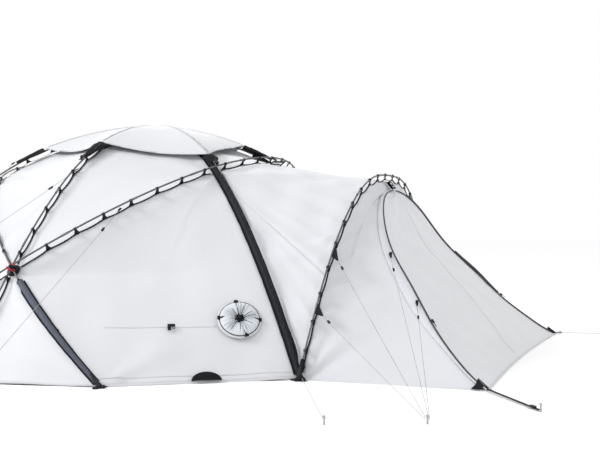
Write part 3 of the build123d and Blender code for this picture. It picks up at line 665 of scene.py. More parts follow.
def dome_panel(left, right, values, cols, seed, sag=0.012, corners=(), fade=(0, 0, 1, 1), size=1.0):
    p = surface(len(values), cols, left, right, values)
    out = outward(p)
    inside = edge_fade(len(values), cols, fade)
    u = np.linspace(0, 1, cols)[None, :]
    width = np.linalg.norm(p[:, -1] - p[:, 0], axis=-1)[:, None]
    sink = sag * np.minimum(1, width / 1.2) * 4 * u * (1 - u)
    lift = clip_bump(p) - sink + (ripples(p, seed, 0.004) * size + pulls(p, corners, seed, 0.011 * size)) * inside
    return sunk(p) + out * lift[..., None]


def cloth(name, grids, material, slot, nodes, body="tent", flat=None, weight=1.0, on=(), flip=False):
    """One piece of stretched cloth from one or more grids."""
    mesh = Mesh()
    for p in grids:
        mesh.grid(p)
    piece = mesh.make(name, material, True, body, slot, nodes)
    thick = piece.modifiers.new("cloth", "SOLIDIFY")
    thick.thickness, thick.offset = CLOTH, -1
    area = sum(area_of(p) for p in grids)
    rows = max(float(np.linalg.norm(np.diff(p, axis=1), axis=2).sum(1).max()) for p in grids)
    ups = max(float(np.linalg.norm(np.diff(p, axis=0), axis=2).sum(0).max()) for p in grids)
    wide, long = flat or (round(rows, 2) + 0.01, round(ups, 2) + 0.01)
    long = max(long, round(area / wide * 1.02, 2))
    wide = min(wide, round(area / long / 0.35, 2))
    return piece


def flipped(p, axis):
    """A grid's mirror image, with its columns reversed so that it still faces outwards."""
    q = p.copy()
    q[..., axis] *= -1
    return q[:, ::-1]


def wall_edge(z, end):
    return np.where((np.asarray(z) < HUB_Z)[..., None], arch_line(z, -end, NEAR), arch_line(z, end, NEAR))


def heights(*stops, step=0.03):
    """Heights from stop to stop, each stop included."""
    made = []
    for low, high in zip(stops, stops[1:]):
        count = max(2, round((high - low) / step))
        made += list(np.linspace(low, high, count + 1)[:-1])
    return np.array(made + [stops[-1]])


HEM = 0.006
FOOT_A = arch_line(0.0, REAR, NEAR)
FOOT_B = main_line(0.0, FRONT, NEAR)
HUB = cross_line(HUB_Z, NEAR)
SHOULDER = main_line(SHOULDER_Z, FRONT, NEAR)


def dome_fabric():
    corners = [FOOT_A, FOOT_B, HUB, SHOULDER]
    z = heights(HEM, HUB_Z, SHOULDER_Z - 0.001, step=0.022)
    wall = dome_panel(lambda v: wall_edge(v, FRONT), lambda v: main_line(v, FRONT, NEAR), z, 64, 3, 0.016, corners)
    z_mid = heights(HEM, HUB_Z - 0.001, step=0.024)
    mid = dome_panel(lambda v: cross_line(v, NEAR), lambda v: arch_line(v, REAR, NEAR), z_mid, 26, 5, 0.008, [FOOT_A, HUB])
    z_roof = heights(HUB_Z + 0.001, SHOULDER_Z, PEAK - 0.001, step=0.022)

    def roof_edge(v):
        low = (v < SHOULDER_Z)[..., None]
        return np.where(low, arch_line(v, FRONT, NEAR), main_line(v, FRONT, NEAR))

    roof = dome_panel(lambda v: cross_line(v, NEAR), roof_edge, z_roof, 40, 7, 0.012, [HUB, SHOULDER])
    sets = {"front": wall, "middle": mid, "roof": roof}
    for side, name in ((NEAR, "near"), (FAR, "far")):
        def place(p, mirror_x):
            q = flipped(p, 0) if mirror_x else p
            return flipped(q, 1) if side == FAR else q

        cloth(f"tent_wall_{name}_front", [place(wall, False)], WHITE, "canopy_white", [f"wall_{name}_front"])
        cloth(f"tent_wall_{name}_rear", [place(wall, True)], WHITE, "canopy_white", [f"wall_{name}_rear"])
        cloth(f"tent_wall_{name}_middle", [place(mid, False), place(mid, True)], WHITE, "canopy_white", [f"wall_{name}_middle"])
        cloth(f"tent_roof_{name}", [place(roof, False), place(roof, True)], WHITE, "canopy_white", [f"roof_{name}"])
    return sets


END_BASE_X = BASE * math.cos(MAIN_ANGLE)
END_SLOPE = (END_BASE_X - arch_x(RIDGE_Z)) / RIDGE_Z


def end_roof(end):
    """The fan-shaped roof over an arch, from its ridge up to the peak, between the main poles."""
    k = np.linspace(-1, 1, 61)
    t = 0.5 + k * (0.5 - 0.5 * math.sqrt(1 - SHOULDER_Z / RIDGE_Z) - 0.5) * -1
    low = arch_fabric(end)(t)
    s = np.linspace(0, 0.999, 44)[:, None]
    peak = vec(0, 0, PEAK)
    straight = low[None] * (1 - s[..., None]) + peak * s[..., None]
    z = SHOULDER_Z + (PEAK - SHOULDER_Z) * s[:, 0]
    edge = main_line(z, end, NEAR)
    bulge = edge - (low[0] * (1 - s) + peak * s)
    weight = (0.45 + 0.55 * np.abs(k) ** 3)[None, :, None]
    rise = np.stack([bulge[:, 0:1] * 1, bulge[:, 1:2] * 1, bulge[:, 2:3]], -1)
    side = np.where(k < 0, 1.0, -1.0)[None, :] * np.abs(k)[None, :]
    x = straight[..., 0] + rise[..., 0] * weight[..., 0] * np.abs(k)[None, :]
    y = straight[..., 1] + rise[..., 1] * weight[..., 0] * side
    h = straight[..., 2] + rise[..., 2] * weight[..., 0]
    p = sunk(np.stack([x, y, h], -1))
    return p if end == FRONT else p[:, ::-1]


def end_wall_grid(end, rows=90, cols=49):
    """An end wall: level in its middle, where the door is, and drawn to the poles at its sides."""
    z = np.linspace(HEM, RIDGE_Z - 0.012, rows)
    high = (z >= SHOULDER_Z)[:, None]
    side = np.where(high, arch_line(z, end, FAR), main_line(z, end, FAR))
    x = END_BASE_X - END_SLOPE * z
    u = np.linspace(-1, 1, cols)
    wide = np.minimum(0.42, side[:, 1] * 0.6)[:, None]
    reach = np.abs(u)[None, :]
    inner = np.clip(reach / 0.5, 0, 1)
    outer = np.clip((reach - 0.5) / 0.5, 0, 1)
    y = (wide * inner + (side[:, 1:2] - wide) * outer) * np.sign(u)[None, :]
    bend = outer
    px = end * x[:, None] * (1 - bend) + side[:, 0:1] * bend
    p = np.stack([px, y, np.repeat(z[:, None], cols, 1)], -1)
    soft = ripples(p, 11 if end == FRONT else 13, 0.003) * edge_fade(rows, cols, (0, 1, 1, 1))
    p[..., 0] += soft * end - 0.02 * end * np.sin(np.pi * reach) * 0.4
    return p if end == FRONT else p[:, ::-1]



# ---- the roof cap -------------------------------------------------------------------------------------

CAP_CORNERS = [
    (FRONT, NEAR, 1.500),
    (FRONT, FAR, 1.680),
    (0, FAR, 1.620),
    (REAR, FAR, 1.600),
    (REAR, NEAR, 1.600),
    (0, NEAR, 1.620),
]


def pole_line(end, side):
    return (lambda z: main_line(z, end, side)) if end else (lambda z: cross_line(z, side))


def cap_sector(a, b, rows=34, cols=25):
    """One sixth of the cap: ridges over two poles, and the cloth sunk a little between them."""
    share = np.linspace(0.004, 1, rows)[:, None]
    k = np.linspace(0, 1, cols)[None, :]
    between = np.sin(np.pi * k)
    pull = share * (1 - 0.035 * between * share**2)
    flat = (a[:2] * (1 - k[..., None]) + b[:2] * k[..., None]) * pull[..., None]
    z = PEAK * (1 - (flat**2).sum(-1) / BASE**2)
    rim = sunk(np.concatenate([flat, z[..., None]], -1))[..., 2] + CAP_LIFT * CAP_SLOPE
    crown = z + CAP_PEAK_LIFT
    sink = 0.100 * share**1.6 * between**0.85
    crown = crown + 4 * CAP_SWELL * share**2
    p = np.concatenate([flat, (crown + (rim - crown) * share**2 - sink)[..., None]], -1)
    p[..., 2] += ripples(p, 21, 0.0022) * between * ramp(share, 0, 0.3)
    return p


def roof_cap():
    points = [pole_line(e, s)(np.array(z)) for e, s, z in CAP_CORNERS]
    grids = [cap_sector(a, b) for a, b in zip(points, points[1:] + points[:1])]
    cloth("cap", grids, CAP_SHADED_WHITE, "cap_white", ["roof_cap"], flat=(2.15, 2.15))
    seams, hem = Mesh(), Mesh()
    for g in grids:
        seams.strap(g[2:-1, 0] + vec(0, 0, 0.0012), np.cross(g[-1, 0] * vec(1, 1, 0), vec(0, 0, 1)), 0.012, 0.0012)
        edge = g[-1]
        down = unit(g[-1] - g[-3])
        hem.strap(edge - down * 0.006 + vec(0, 0, 0.001), down, 0.016, 0.0022)
    seams.make("cap_seams", SEAM_AND_FOLD_SHADE, slot="cap_white")
    hem.make("cap_hem", SEAM_AND_FOLD_SHADE, slot="cap_white")
    patches, buckles = Mesh(), Mesh()
    for end, side, z in CAP_CORNERS:
        line = pole_line(end, side)
        n, cols = 14, 11
        short = (end, side) == (FRONT, NEAR)
        h = np.linspace(z + 0.010, z - (0.042 if short else 0.115), n)
        out = outward(line(h))
        base = sunk(line(h))
        across = unit(np.stack([-base[:, 1], base[:, 0], 0 * h], -1))
        half = np.linspace(0.072, 0.020, n)[:, None]
        k = np.linspace(-1, 1, cols)[None, :]
        lift = np.linspace(CAP_LIFT + 0.004, CAP_LIFT - 0.002, n)[:, None]
        drop = 0.035 * np.abs(k) ** 1.6 * np.linspace(1, 0.5, n)[:, None]
        crease = 0.0025 * np.sin(k * 14 + h[:, None] * 60)
        p = base[:, None] + across[:, None] * (half * k)[..., None] + out[:, None] * (lift - drop + crease)[..., None]
        patches.grid(p)
        last = base[-1] + out[-1] * CAP_LIFT
        tangent = unit(base[-1] - base[-3])
        run = [last + tangent * d - out[-1] * (0.006 * d / 0.06) for d in np.linspace(-0.012, 0.075, 6)]
        patches_end = across[-1]
        buckles.strap(run, patches_end, 0.024, 0.0025)
        buckles.box(last + tangent * 0.03 + out[-1] * 0.003, (tangent, across[-1], out[-1]), (0.034, 0.034, 0.009), 0.006)
        if short:
            continue
        for offset in (-0.45, 0.45):
            spot = base[2] + across[2] * 0.06 * offset + out[2] * (CAP_LIFT + 0.003)
            buckles.strap([spot + tangent * d for d in (0.0, 0.05, 0.1)], across[2], 0.008, 0.002)
    patch = patches.make("cap_patches", WEBBING, slot="webbing_black", replaces=["cap_straps"])
    patch.modifiers.new("cloth", "SOLIDIFY").thickness = 0.003
    buckles.make("cap_buckles", PLASTIC, smooth=False, slot="webbing_black")


# ---- the vestibule --------------------------------------------------------------------------------------

HOOP_ALL = evenly(hoop_tape, round(length_of(hoop_tape) / 0.205))


def hoop_inset(t):
    """The fabric's edge inside the hoop pole: drawn out at each clip, and hollow between them."""
    step = np.interp(t, HOOP_ALL, np.arange(len(HOOP_ALL))) % 1
    return 0.042 + 0.016 * np.sin(np.pi * step) ** 1.3


def hoop_edge(t):
    t = np.asarray(t, float)
    outer, inner = hoop_at(t, 0.0), hoop_at(t, 0.06)
    return outer + (inner - outer) * (hoop_inset(t) / 0.06)[..., None]


def end_edge(z, end, side):
    low = (np.asarray(z) < SHOULDER_Z)[..., None]
    return np.where(low, main_line(z, end, side), arch_line(z, end, side))


def attach(t):
    """The vestibule's seam on the dome, from its near foot (0) over the ridge to its far foot (1)."""
    near = np.minimum(t, 1 - np.asarray(t, float))
    z = (RIDGE_Z - 0.012) * (1 - (1 - 2 * near) ** 2) + 0.002
    p = end_edge(z, FRONT, NEAR)
    forward = vec(math.sin(MAIN_ANGLE), math.cos(MAIN_ANGLE), 0)
    share = (1 - ramp(z, SHOULDER_Z - 0.06, SHOULDER_Z + 0.04))[..., None]
    p = sunk(p) + 0.042 * (forward * share + vec(1, 0, 0) * (1 - share)) + outward(p) * 0.006
    p[..., 1] *= np.where(np.asarray(t) > 0.5, -1, 1)
    return p


def normals(p, toward):
    n = unit(np.cross(np.gradient(p, axis=1), np.gradient(p, axis=0)))
    sign = np.sign((n * toward).sum(-1, keepdims=True).mean())
    return n * sign


def tunnel(start, end, rows=70, cols=56, seed=31):
    t = np.linspace(start, end, rows)
    p = surface(rows, cols, attach, hoop_edge, t)
    centre = p.mean((0, 1)) - vec(1.9, 0, 0.3)
    n = normals(p, centre * vec(0, 1, 1) + vec(0, 0, 0.2))
    u = np.linspace(0, 1, cols)[None, :]
    sag = 0.016 * 4 * u * (1 - u)
    soft = ripples(p, seed, 0.006) * edge_fade(rows, cols, (0, 0, 1, 1))
    tug = pulls(p, [FOOT_B, hoop_at(0.0, 0), SHOULDER, hoop_at(0.38, 0.05)], seed, 0.013) * edge_fade(rows, cols, (0, 0, 1, 1))
    return p + n * (soft + tug - sag)[..., None]


def spline(points, first, last, count=400):
    """A smooth curve through points with given directions at its ends, evenly spaced."""
    p = np.array(points, float)
    h = np.linalg.norm(np.diff(p, axis=0), axis=1)
    n = len(p)
    a, b = np.zeros((n, n)), np.zeros((n, 3))
    a[0, 0] = a[-1, -1] = 1
    b[0], b[-1] = unit(vec(*first)), unit(vec(*last))
    for i in range(1, n - 1):
        a[i, i - 1 : i + 2] = h[i], 2 * (h[i - 1] + h[i]), h[i - 1]
        b[i] = 3 * (h[i] / h[i - 1] * (p[i] - p[i - 1]) + h[i - 1] / h[i] * (p[i + 1] - p[i]))
    slope = np.linalg.solve(a, b)
    made = []
    for i in range(n - 1):
        for k in np.linspace(0, 1, 60, endpoint=i == n - 2):
            d = (p[i + 1] - p[i])
            made.append(
                (1 + 2 * k) * (1 - k) ** 2 * p[i] + k * (1 - k) ** 2 * h[i] * slope[i]
                + k * k * (3 - 2 * k) * p[i + 1] + k * k * (k - 1) * h[i] * slope[i + 1] + 0 * d
            )
    made = np.array(made)
    s = along(made)
    even = np.linspace(0, s[-1], count)
    return np.stack([np.interp(even, s, made[:, i]) for i in range(3)], -1)


ZIP = spline(ZIP_POINTS, (0, -1, 0), (1, -0.6, -0.35))[::-1]


def zip_near(t):
    """The front door's near zip, from its foot (0) to the top (1)."""
    place = np.asarray(t, float) * (len(ZIP) - 1)
    return np.stack([np.interp(place, np.arange(len(ZIP)), ZIP[:, i]) for i in range(3)], -1)


def zip_far(t):
    return zip_near(t) * vec(1, -1, 1)


def front_side(rows=110, cols=40):
    t = np.linspace(0, 0.999, rows)
    p = surface(rows, cols, lambda v: hoop_edge(0.5 * v), zip_near, t)
    n = normals(p, vec(1, -1, 0.4))
    u = np.linspace(0, 1, cols)[None, :]
    width = np.linalg.norm(p[:, -1] - p[:, 0], axis=-1)[:, None]
    sag = 0.05 * np.minimum(1, width / 1.2) * u * (1 - u)
    soft = (ripples(p, 41, 0.006) + pulls(p, [p[0, 0], p[0, -1], p[-1, -1]], 41, 0.014, 0.7)) * edge_fade(rows, cols)
    return p + n * (soft - sag)[..., None]


def door_grid(rows=110, cols=61):
    t = np.linspace(0, 0.985, rows)
    p = surface(rows, cols, zip_near, zip_far, t)
    n = normals(p, vec(1, 0, 0.6))
    u = np.linspace(0, 1, cols)[None, :]
    width = np.linalg.norm(p[:, -1] - p[:, 0], axis=-1)[:, None]
    crown = 0.05 * np.minimum(1, width / 2.5) * 4 * u * (1 - u) * ramp(np.linspace(0, 1, rows), 0.0, 0.3)[:, None]
    soft = (ripples(p, 43, 0.004) + pulls(p, [p[0, 0], p[0, -1], p[-1, cols // 2]], 43, 0.010, 0.9)) * edge_fade(rows, cols)
    p = p + n * (soft + crown)[..., None]
    hollow = np.sin(np.pi * u[0]) * 0.05
    fade = (1 - ramp(np.linspace(0, 1, rows), 0, 0.16))[:, None]
    p[..., 0] -= hollow[None, :] * fade
    return p


def vestibule():
    side = tunnel(0.004, 0.3)
    cloth("vestibule_wall_near", [side], VESTIBULE_SHADED, "canopy_white", ["vestibule_side_near"])
    cloth("vestibule_wall_far", [flipped(side, 1)], VESTIBULE_SHADED, "canopy_white", ["vestibule_side_far"])
    roof = tunnel(0.3, 0.7, 90, 56, 31)
    cloth("vestibule_ridge", [roof], VESTIBULE_SHADED, "canopy_white", ["vestibule_roof"])
    panel = front_side()
    cloth("front_side_near", [panel], VESTIBULE_SHADED, "canopy_white", ["front_panel_near"])
    cloth("front_side_far", [flipped(panel, 1)], VESTIBULE_SHADED, "canopy_white", ["front_panel_far"])
    door = door_grid()
    cloth("door_cloth", [door], DOOR, "door_grey", ["front_door"], "front_door")
    return {"side": side, "panel": panel, "door": door}


# ---- sleeves, webbing, clips, hubs and feet ----------------------------------------------------------------


def frames(path, t):
    """Points, tangents, outward normals and the directions across a line on the dome."""
    p = path(t)
    tangent = unit(path(np.clip(t + 0.002, 0, 1)) - path(np.clip(t - 0.002, 0, 1)))
    out = outward(p)
    out = unit(out - tangent * (out * tangent).sum(-1, keepdims=True))
    return sunk(p), tangent, out, np.cross(tangent, out)


def sleeve_mesh(mesh, seams, name, low=0.028, high=0.028, seed=0):
    start, end = SLEEVES[name]
    path = {"main_near": main_fabric(NEAR), "main_far": main_fabric(FAR), "side_rear": arch_fabric(REAR), "side_front": arch_fabric(FRONT)}[name]
    t = evenly(path, 150, start, end)
    p, tangent, out, across = frames(path, t)
    rng = np.random.default_rng(seed)
    k = np.linspace(-1, 1, 21)
    pole = POLES[name](t)
    height = ((pole - p) * out).sum(-1) + POLE_R + 0.003
    s = along(p)
    pucker = sum(np.sin(s * f + rng.uniform(0, 6)) for f in (23.0, 37.0, 61.0)) / 3
    rise = (p[:, 2] - p[:, 2].min()) / np.ptp(p[:, 2])
    wide = (low + (high - low) * ramp(rise, 0, 0.8)) * (1 + 0.05 * pucker)
    crown = np.maximum(0, 1 - np.abs(k) ** 2.6)[None, :] ** 0.8
    wrinkle = 0.0016 * np.sin(s[:, None] * 90 + 7 * k[None, :] ** 2) * (1 - np.abs(k))[None, :]
    lift = 0.0025 + (height[:, None] - 0.0025) * crown + wrinkle
    top = p[:, None] + across[:, None] * (wide[:, None] * k[None, :])[..., None] + out[:, None] * lift[..., None]
    under = p[:, None] + across[:, None] * (wide[:, None] * k[None, ::-1])[..., None] + out[:, None] * 0.0005
    ring = np.concatenate([top, under[:, 1:-1]], 1)
    mesh.grid(ring, closed=True)
    for sign in (-1, 1):
        place = p + across * (wide * sign * 1.16)[:, None] + out * 0.003
        seams.strap(place, across, 0.013, 0.0022)
        stitched = p + across * (wide * sign * 0.93)[:, None] + out * 0.0075
        seams.tube(stitched[::2], 0.0012, 5)
    for n in (0, -1):
        seams.strap([pole[n] + across[n] * wide[n] * x + out[n] * (0.012 - 0.03 * abs(x)) for x in np.linspace(-1, 1, 7)], tangent[n], 0.02, 0.003)


def sleeves():
    for piece, names, material, nodes, slot in (
        ("sleeve_near", ["main_near"], SLEEVE, ["sleeve_main_near"], "sleeve_black"),
        ("sleeve_far", ["main_far"], SLEEVE, ["sleeve_main_far"], "sleeve_black"),
        ("sleeves_side", ["side_rear", "side_front"], SLEEVE_FACE, ["sleeve_side_arches"], "sleeve_black"),
    ):
        mesh, seams = Mesh(), Mesh()
        for n, name in enumerate(names):
            ends = (0.015, 0.022) if name.startswith("side") else (0.023, 0.026)
            sleeve_mesh(mesh, seams, name, *ends, seed=51 + n)
        mesh.make(piece, material, slot=slot, replaces=nodes)
        seams.make(piece + "_seams", WEBBING, slot="webbing_black")


def hoop_sleeves():
    """The short black sleeves round the hoop's feet."""
    mesh = Mesh()
    for sign in (1, -1):
        t = np.linspace(0.004, 0.125, 40)
        p = hoop_at(t, 0.004) * vec(1, sign, 1)
        s = along(p)
        mesh.tube(p, 0.0135 * (1 + 0.08 * np.sin(s * 60) + 0.05 * np.sin(s * 97)), 14)
        mesh.strap(hoop_at(t, 0.030) * vec(1, sign, 1), hoop_out(t) * vec(1, sign, 1), 0.036, 0.003)
    mesh.make("sleeves_hoop", WEBBING, slot="sleeve_black")


def free(t, path):
    p = path(t)
    return np.min([np.linalg.norm(p - c, axis=-1) for c in CROSSINGS], axis=0) > 0.05


def webbing():
    mesh = Mesh()
    for path, _, start, end in LINES.values():
        t = evenly(path, round(length_of(path, start, end) / 0.014), start, end)
        p, tangent, out, across = frames(path, t)
        raised = p + out * (clip_bump(path(t)) + TAPE_LIFT)[:, None]
        open_run = free(t, path)
        runs = np.split(np.arange(len(t)), np.where(np.diff(open_run.astype(int)) != 0)[0] + 1)
        for run in runs:
            if open_run[run[0]] and len(run) > 4:
                mesh.strap(raised[run], across[run], 0.012, 0.003)
    t = np.linspace(0.006, 0.994, 420)
    edge = hoop_edge(t) + hoop_out(t) * 0.004
    mesh.strap(edge, vec(1, 0, 0), 0.011, 0.003)
    return mesh.make("clip_tapes", WEBBING, slot="webbing_black", replaces=["clip_webbing"])


def clip_mesh(mesh, base, top, along_pole, half=0.022):
    """A three-cornered clip: a gusset on the tape, a stem, and a hook round the pole."""
    rise = unit(top - base)
    height = np.linalg.norm(top - base)
    side = unit(np.cross(along_pole, rise))
    run = np.cross(rise, side)
    stem = max(height - POLE_R - 0.002, 0.012)
    outline = [
        base + run * x + rise * y
        for x, y in (
            (-half, 0.0), (half, 0.0), (half * 0.92, 0.004), (0.012, stem * 0.62), (0.009, stem),
            (-0.009, stem), (-0.012, stem * 0.62), (-half * 0.92, 0.004),
        )
    ]
    mesh.plate(outline, side * 0.0036)
    mesh.box(base + rise * 0.002, (run, side, rise), (half * 1.7, 0.019, 0.005), 0.004)
    mesh.box(base + rise * stem * 0.8, (run, side, rise), (0.017, 0.011, 0.008), 0.003)
    x, y = side, rise
    turn = np.linspace(-0.35, math.pi + 0.35, 13)
    for offset in (-0.006, 0.006):
        ring = [top + run * offset + (x * math.cos(a) + y * math.sin(a)) * (POLE_R + 0.0026) for a in turn]
        mesh.tube(ring, 0.0024, 6)
    for sign in (-1, 1):
        mesh.box(top + x * (POLE_R + 0.0022) * sign - rise * 0.004, (run, x, rise), (0.018, 0.004, 0.012), 0.002)


def clips():
    groups = {
        "clips_main_poles": (["main_near", "main_far"], "clips_main"),
        "clips_cross_pole": (["cross_near", "cross_far"], "clips_cross"),
        "clips_arches": (["side_front", "side_rear"], "clips_side_arches"),
    }
    for piece, (names, node) in groups.items():
        mesh = Mesh()
        for name in names:
            path, pole, _, _ = LINES[name]
            for t in clip_places(name):
                base = sunk(path(t)) + outward(path(t)) * (CLIP_PULL + TAPE_LIFT)
                run = POLES[pole](min(1, t + 0.004)) - POLES[pole](max(0, t - 0.004))
                clip_mesh(mesh, base, POLES[pole](t), run)
        mesh.make(piece, PLASTIC, smooth=False, slot="clip_black", replaces=[node])
    mesh = Mesh()
    for t in HOOP_CUTS:
        top = hoop_at(t, 0)
        base = hoop_edge(t) + hoop_out(t) * 0.004
        clip_mesh(mesh, base, top, hoop_at(min(1, t + 0.004), 0) - hoop_at(max(0, t - 0.004), 0))
    mesh.make("clips_hoop", PLASTIC, smooth=False, slot="clip_black", replaces=["clips_vestibule"])


def hubs():
    plates, marks = Mesh(), Mesh()
    for side in (NEAR, FAR):
        p = cross_line(HUB_Z, side)
        out = outward(p)
        x = unit(np.cross(vec(0, 0, 1), out))
        y = np.cross(out, x)
        for radius, lift, thick in ((0.052, 0.012, 0.006), (0.040, 0.019, 0.008)):
            turn = np.arange(12) * math.pi / 6 + math.pi / 12
            outline = [p + out * lift + (x * math.cos(a) + y * math.sin(a)) * radius * (1.0 if n % 2 else 0.93) for n, a in enumerate(turn)]
            plates.plate(outline, out * thick)
        plates.ring(p + out * 0.024, out, 0.024, 0.004)
        for pole, t in (("cross", 0.5 - 0.5 * math.sqrt(1 - HUB_Z / PEAK)), ("side_front", HUB_T), ("side_rear", HUB_T)):
            t = t if side == NEAR else 1 - t
            top = POLES[pole](t)
            run = unit(POLES[pole](t + 0.004) - POLES[pole](t - 0.004))
            across = unit(np.cross(run, out))
            arc = [top + run * 0.0 + (across * math.cos(a) + out * math.sin(a)) * (POLE_R + 0.004) for a in np.linspace(-0.6, math.pi + 0.6, 13)]
            plates.strap(arc, run, 0.020, 0.0028)
            marks.strap([q + run * 0.024 for q in arc], run, 0.009, 0.0030)
            marks.strap([q - run * 0.024 for q in arc], run, 0.009, 0.0030)
            plates.strap([p + out * 0.016, top], run, 0.016, 0.003)
    plates.make("hub_fittings", PLASTIC, smooth=False, slot="webbing_black", replaces=["hub_plates"])
    marks.make("hub_markers", RED, smooth=False, slot="webbing_black")


FOOT_Z = 0.016


def pole_end(name, t_low, t_high):
    path = POLES[name]
    rising = path(t_high)[2] > path(t_low)[2]
    return solve(lambda t: (path(np.array(t))[2] - FOOT_Z) * (1 if rising else -1), t_low, t_high)


def feet():
    mesh, loops = Mesh(), Mesh()
    for name in POLES:
        for low, high in ((0.0, 0.1), (0.9, 1.0)):
            t = pole_end(name, low, high)
            inside = t + 0.012 if low == 0.0 else t - 0.012
            tip = POLES[name](np.array(t))
            up = unit(POLES[name](np.array(inside)) - tip)
            flat = unit((tip - POLES[name](np.array(inside))) * vec(1, 1, 0))
            side = vec(-flat[1], flat[0], 0)
            foot = vec(tip[0], tip[1], 0)
            mesh.box(foot + vec(0, 0, 0.0045), (side, flat, (0, 0, 1)), (0.112, 0.034, 0.007), 0.008)
            mesh.box(foot + flat * 0.004 + vec(0, 0, 0.011), (flat, side, (0, 0, 1)), (0.062, 0.030, 0.010), 0.007)
            cup = [tip - up * 0.010 + up * d for d in (0.0, 0.004, 0.03, 0.06, 0.085, 0.09)]
            mesh.tube(cup, [0.012, 0.0155, 0.0145, 0.0120, 0.0100, 0.0088], 14)
            mesh.ring(foot + flat * 0.036 + vec(0, 0, 0.012), side, 0.010, 0.0024)
            pull = [tip - flat * 0.02 + vec(0, 0, 0.02), tip - flat * 0.045 + vec(0, 0, 0.045), tip - flat * 0.075 + vec(0, 0, 0.07)]
            loops.strap(pull, side, 0.020, 0.0022)
    mesh.make("foot_fittings", PLASTIC, smooth=False, slot="foot_black", replaces=["pole_feet"])
    loops.make("foot_loops", WEBBING, slot="webbing_black")


# ---- the vent, the port and small fittings -----------------------------------------------------------------


def wall_point(share, z):
    left, right = wall_edge(np.array(z), FRONT), main_line(z, FRONT, NEAR)
    return left + (right - left) * share


def wall_axes(share, z):
    """A point on the near front wall, and its directions: along the wall, up it and out of it."""
    p = wall_point(share, z)
    x = unit(wall_point(share + 0.05, z) - p)
    up = wall_point(share, z + 0.06) - p
    out = unit(np.cross(x, up))
    return p, x, np.cross(out, x), out


VENT_R = 0.137


def vent():
    p, x, y, out = wall_axes(0.82, 0.375)
    rng = np.random.default_rng(61)
    rings, turns = 46, 336
    a = np.linspace(0, 2 * np.pi, turns, endpoint=False)[None, :]
    s = np.linspace(0, 1, rings)[:, None]
    radius = 0.010 + (VENT_R - 0.012) * (1 - s)
    pleats = 30
    wobble = sum(rng.uniform(0.1, 0.3) * np.sin(k * a + rng.uniform(0, 6)) for k in (3, 5, 8))
    fold = np.cos(pleats * a + 3.0 * wobble)
    deep = 0.0105 * np.sin(np.pi * np.clip(s, 0, 1)) ** 0.6 * (0.55 + 0.45 * np.sin(5 * a + 1.3))
    body = 0.016 + 0.020 * np.sin(np.pi * s**0.8) - 0.004 * s
    lift = body + fold * deep
    ring = p + (x * np.cos(a)[..., None] + y * np.sin(a)[..., None]) * radius[..., None] + out * lift[..., None]
    mesh = Mesh().grid(ring, closed=True)
    made = mesh.make("vent_pleats", VENT_CLOTH, slot="vent_grey", replaces=["vent_tunnel"])
    made.modifiers.new("cloth", "SOLIDIFY").thickness = CLOTH
    rim, tabs = Mesh(), Mesh()
    rim.ring(p + out * 0.015, out, VENT_R, 0.0026, 96, 8)
    seat = []
    for r, h in ((VENT_R + 0.014, 0.004), (VENT_R - 0.004, 0.012)):
        seat.append(p + (x * np.cos(a[0])[:, None] + y * np.sin(a[0])[:, None]) * r + out * h)
    Mesh().grid(np.array(seat), closed=True).make("vent_collar", WHITE, slot="canopy_white")
    for angle in (1.69, 3.08, -0.10, -1.29):
        d = x * math.cos(angle) + y * math.sin(angle)
        side = np.cross(out, d)
        tabs.box(p + d * (VENT_R + 0.004) + out * 0.019, (side, d, out), (0.030, 0.020, 0.006), 0.005)
        tabs.strap([p + d * (VENT_R - r) + out * (0.022 + h) for r, h in ((0.0, 0.0), (0.02, 0.006), (0.034, 0.010))], side, 0.012, 0.002)
    for k in range(11):
        angle = 2 * math.pi * (k + 0.3 * rng.uniform(-1, 1)) / 11
        d = x * math.cos(angle) + y * math.sin(angle)
        reach = rng.uniform(0.55, 0.95)
        r = np.linspace(0.014, (VENT_R - 0.012) * reach, 9)
        share = 1 - (r - 0.010) / (VENT_R - 0.012)
        h = 0.016 + 0.020 * np.sin(np.pi * share**0.8) - 0.004 * share + 0.004
        tabs.tube([p + d * b + out * c for b, c in zip(r, h)], np.linspace(0.0026, 0.0007, 9), 5)
    gather = Mesh()
    b = np.linspace(0, 2 * np.pi, 60, endpoint=False)[None, :]
    g = np.linspace(0, 1, 9)[:, None]
    bunch = (0.034 - 0.022 * g) * (1 + 0.22 * np.cos(7 * b + 0.8) * (1 - 0.5 * g) + 0.1 * np.cos(12 * b))
    high = 0.022 + 0.014 * g**1.4 + 0.003 * np.cos(7 * b)
    gather.grid(p + (x * np.cos(b)[..., None] + y * np.sin(b)[..., None]) * bunch[..., None] + out * high[..., None], closed=True)
    gather.make("vent_gather", WEBBING, slot="webbing_black")
    rim.make("vent_rim", WEBBING, slot="webbing_black")
    tabs.make("vent_tabs", WEBBING, smooth=False, slot="webbing_black")
    toggle = Mesh()
    toggle.tube([p + out * h for h in (0.014, 0.018, 0.026, 0.036, 0.039)], [0.007, 0.011, 0.012, 0.011, 0.008], 16)
    toggle.tube([p + out * h for h in (0.039, 0.042, 0.046, 0.048)], [0.0055, 0.0065, 0.0065, 0.0045], 12)
    knot = [p + out * (0.020 + 0.004 * math.sin(3 * b)) + (x * math.cos(b) + y * math.sin(b)) * 0.015 for b in np.linspace(0, 6.2, 26)]
    toggle.tube(knot, 0.0028, 6)
    toggle.make("vent_cord_lock", PLASTIC, body="vent_toggle", slot="clip_black", replaces=["vent_toggle"])


PORT_FLAT = 0.66


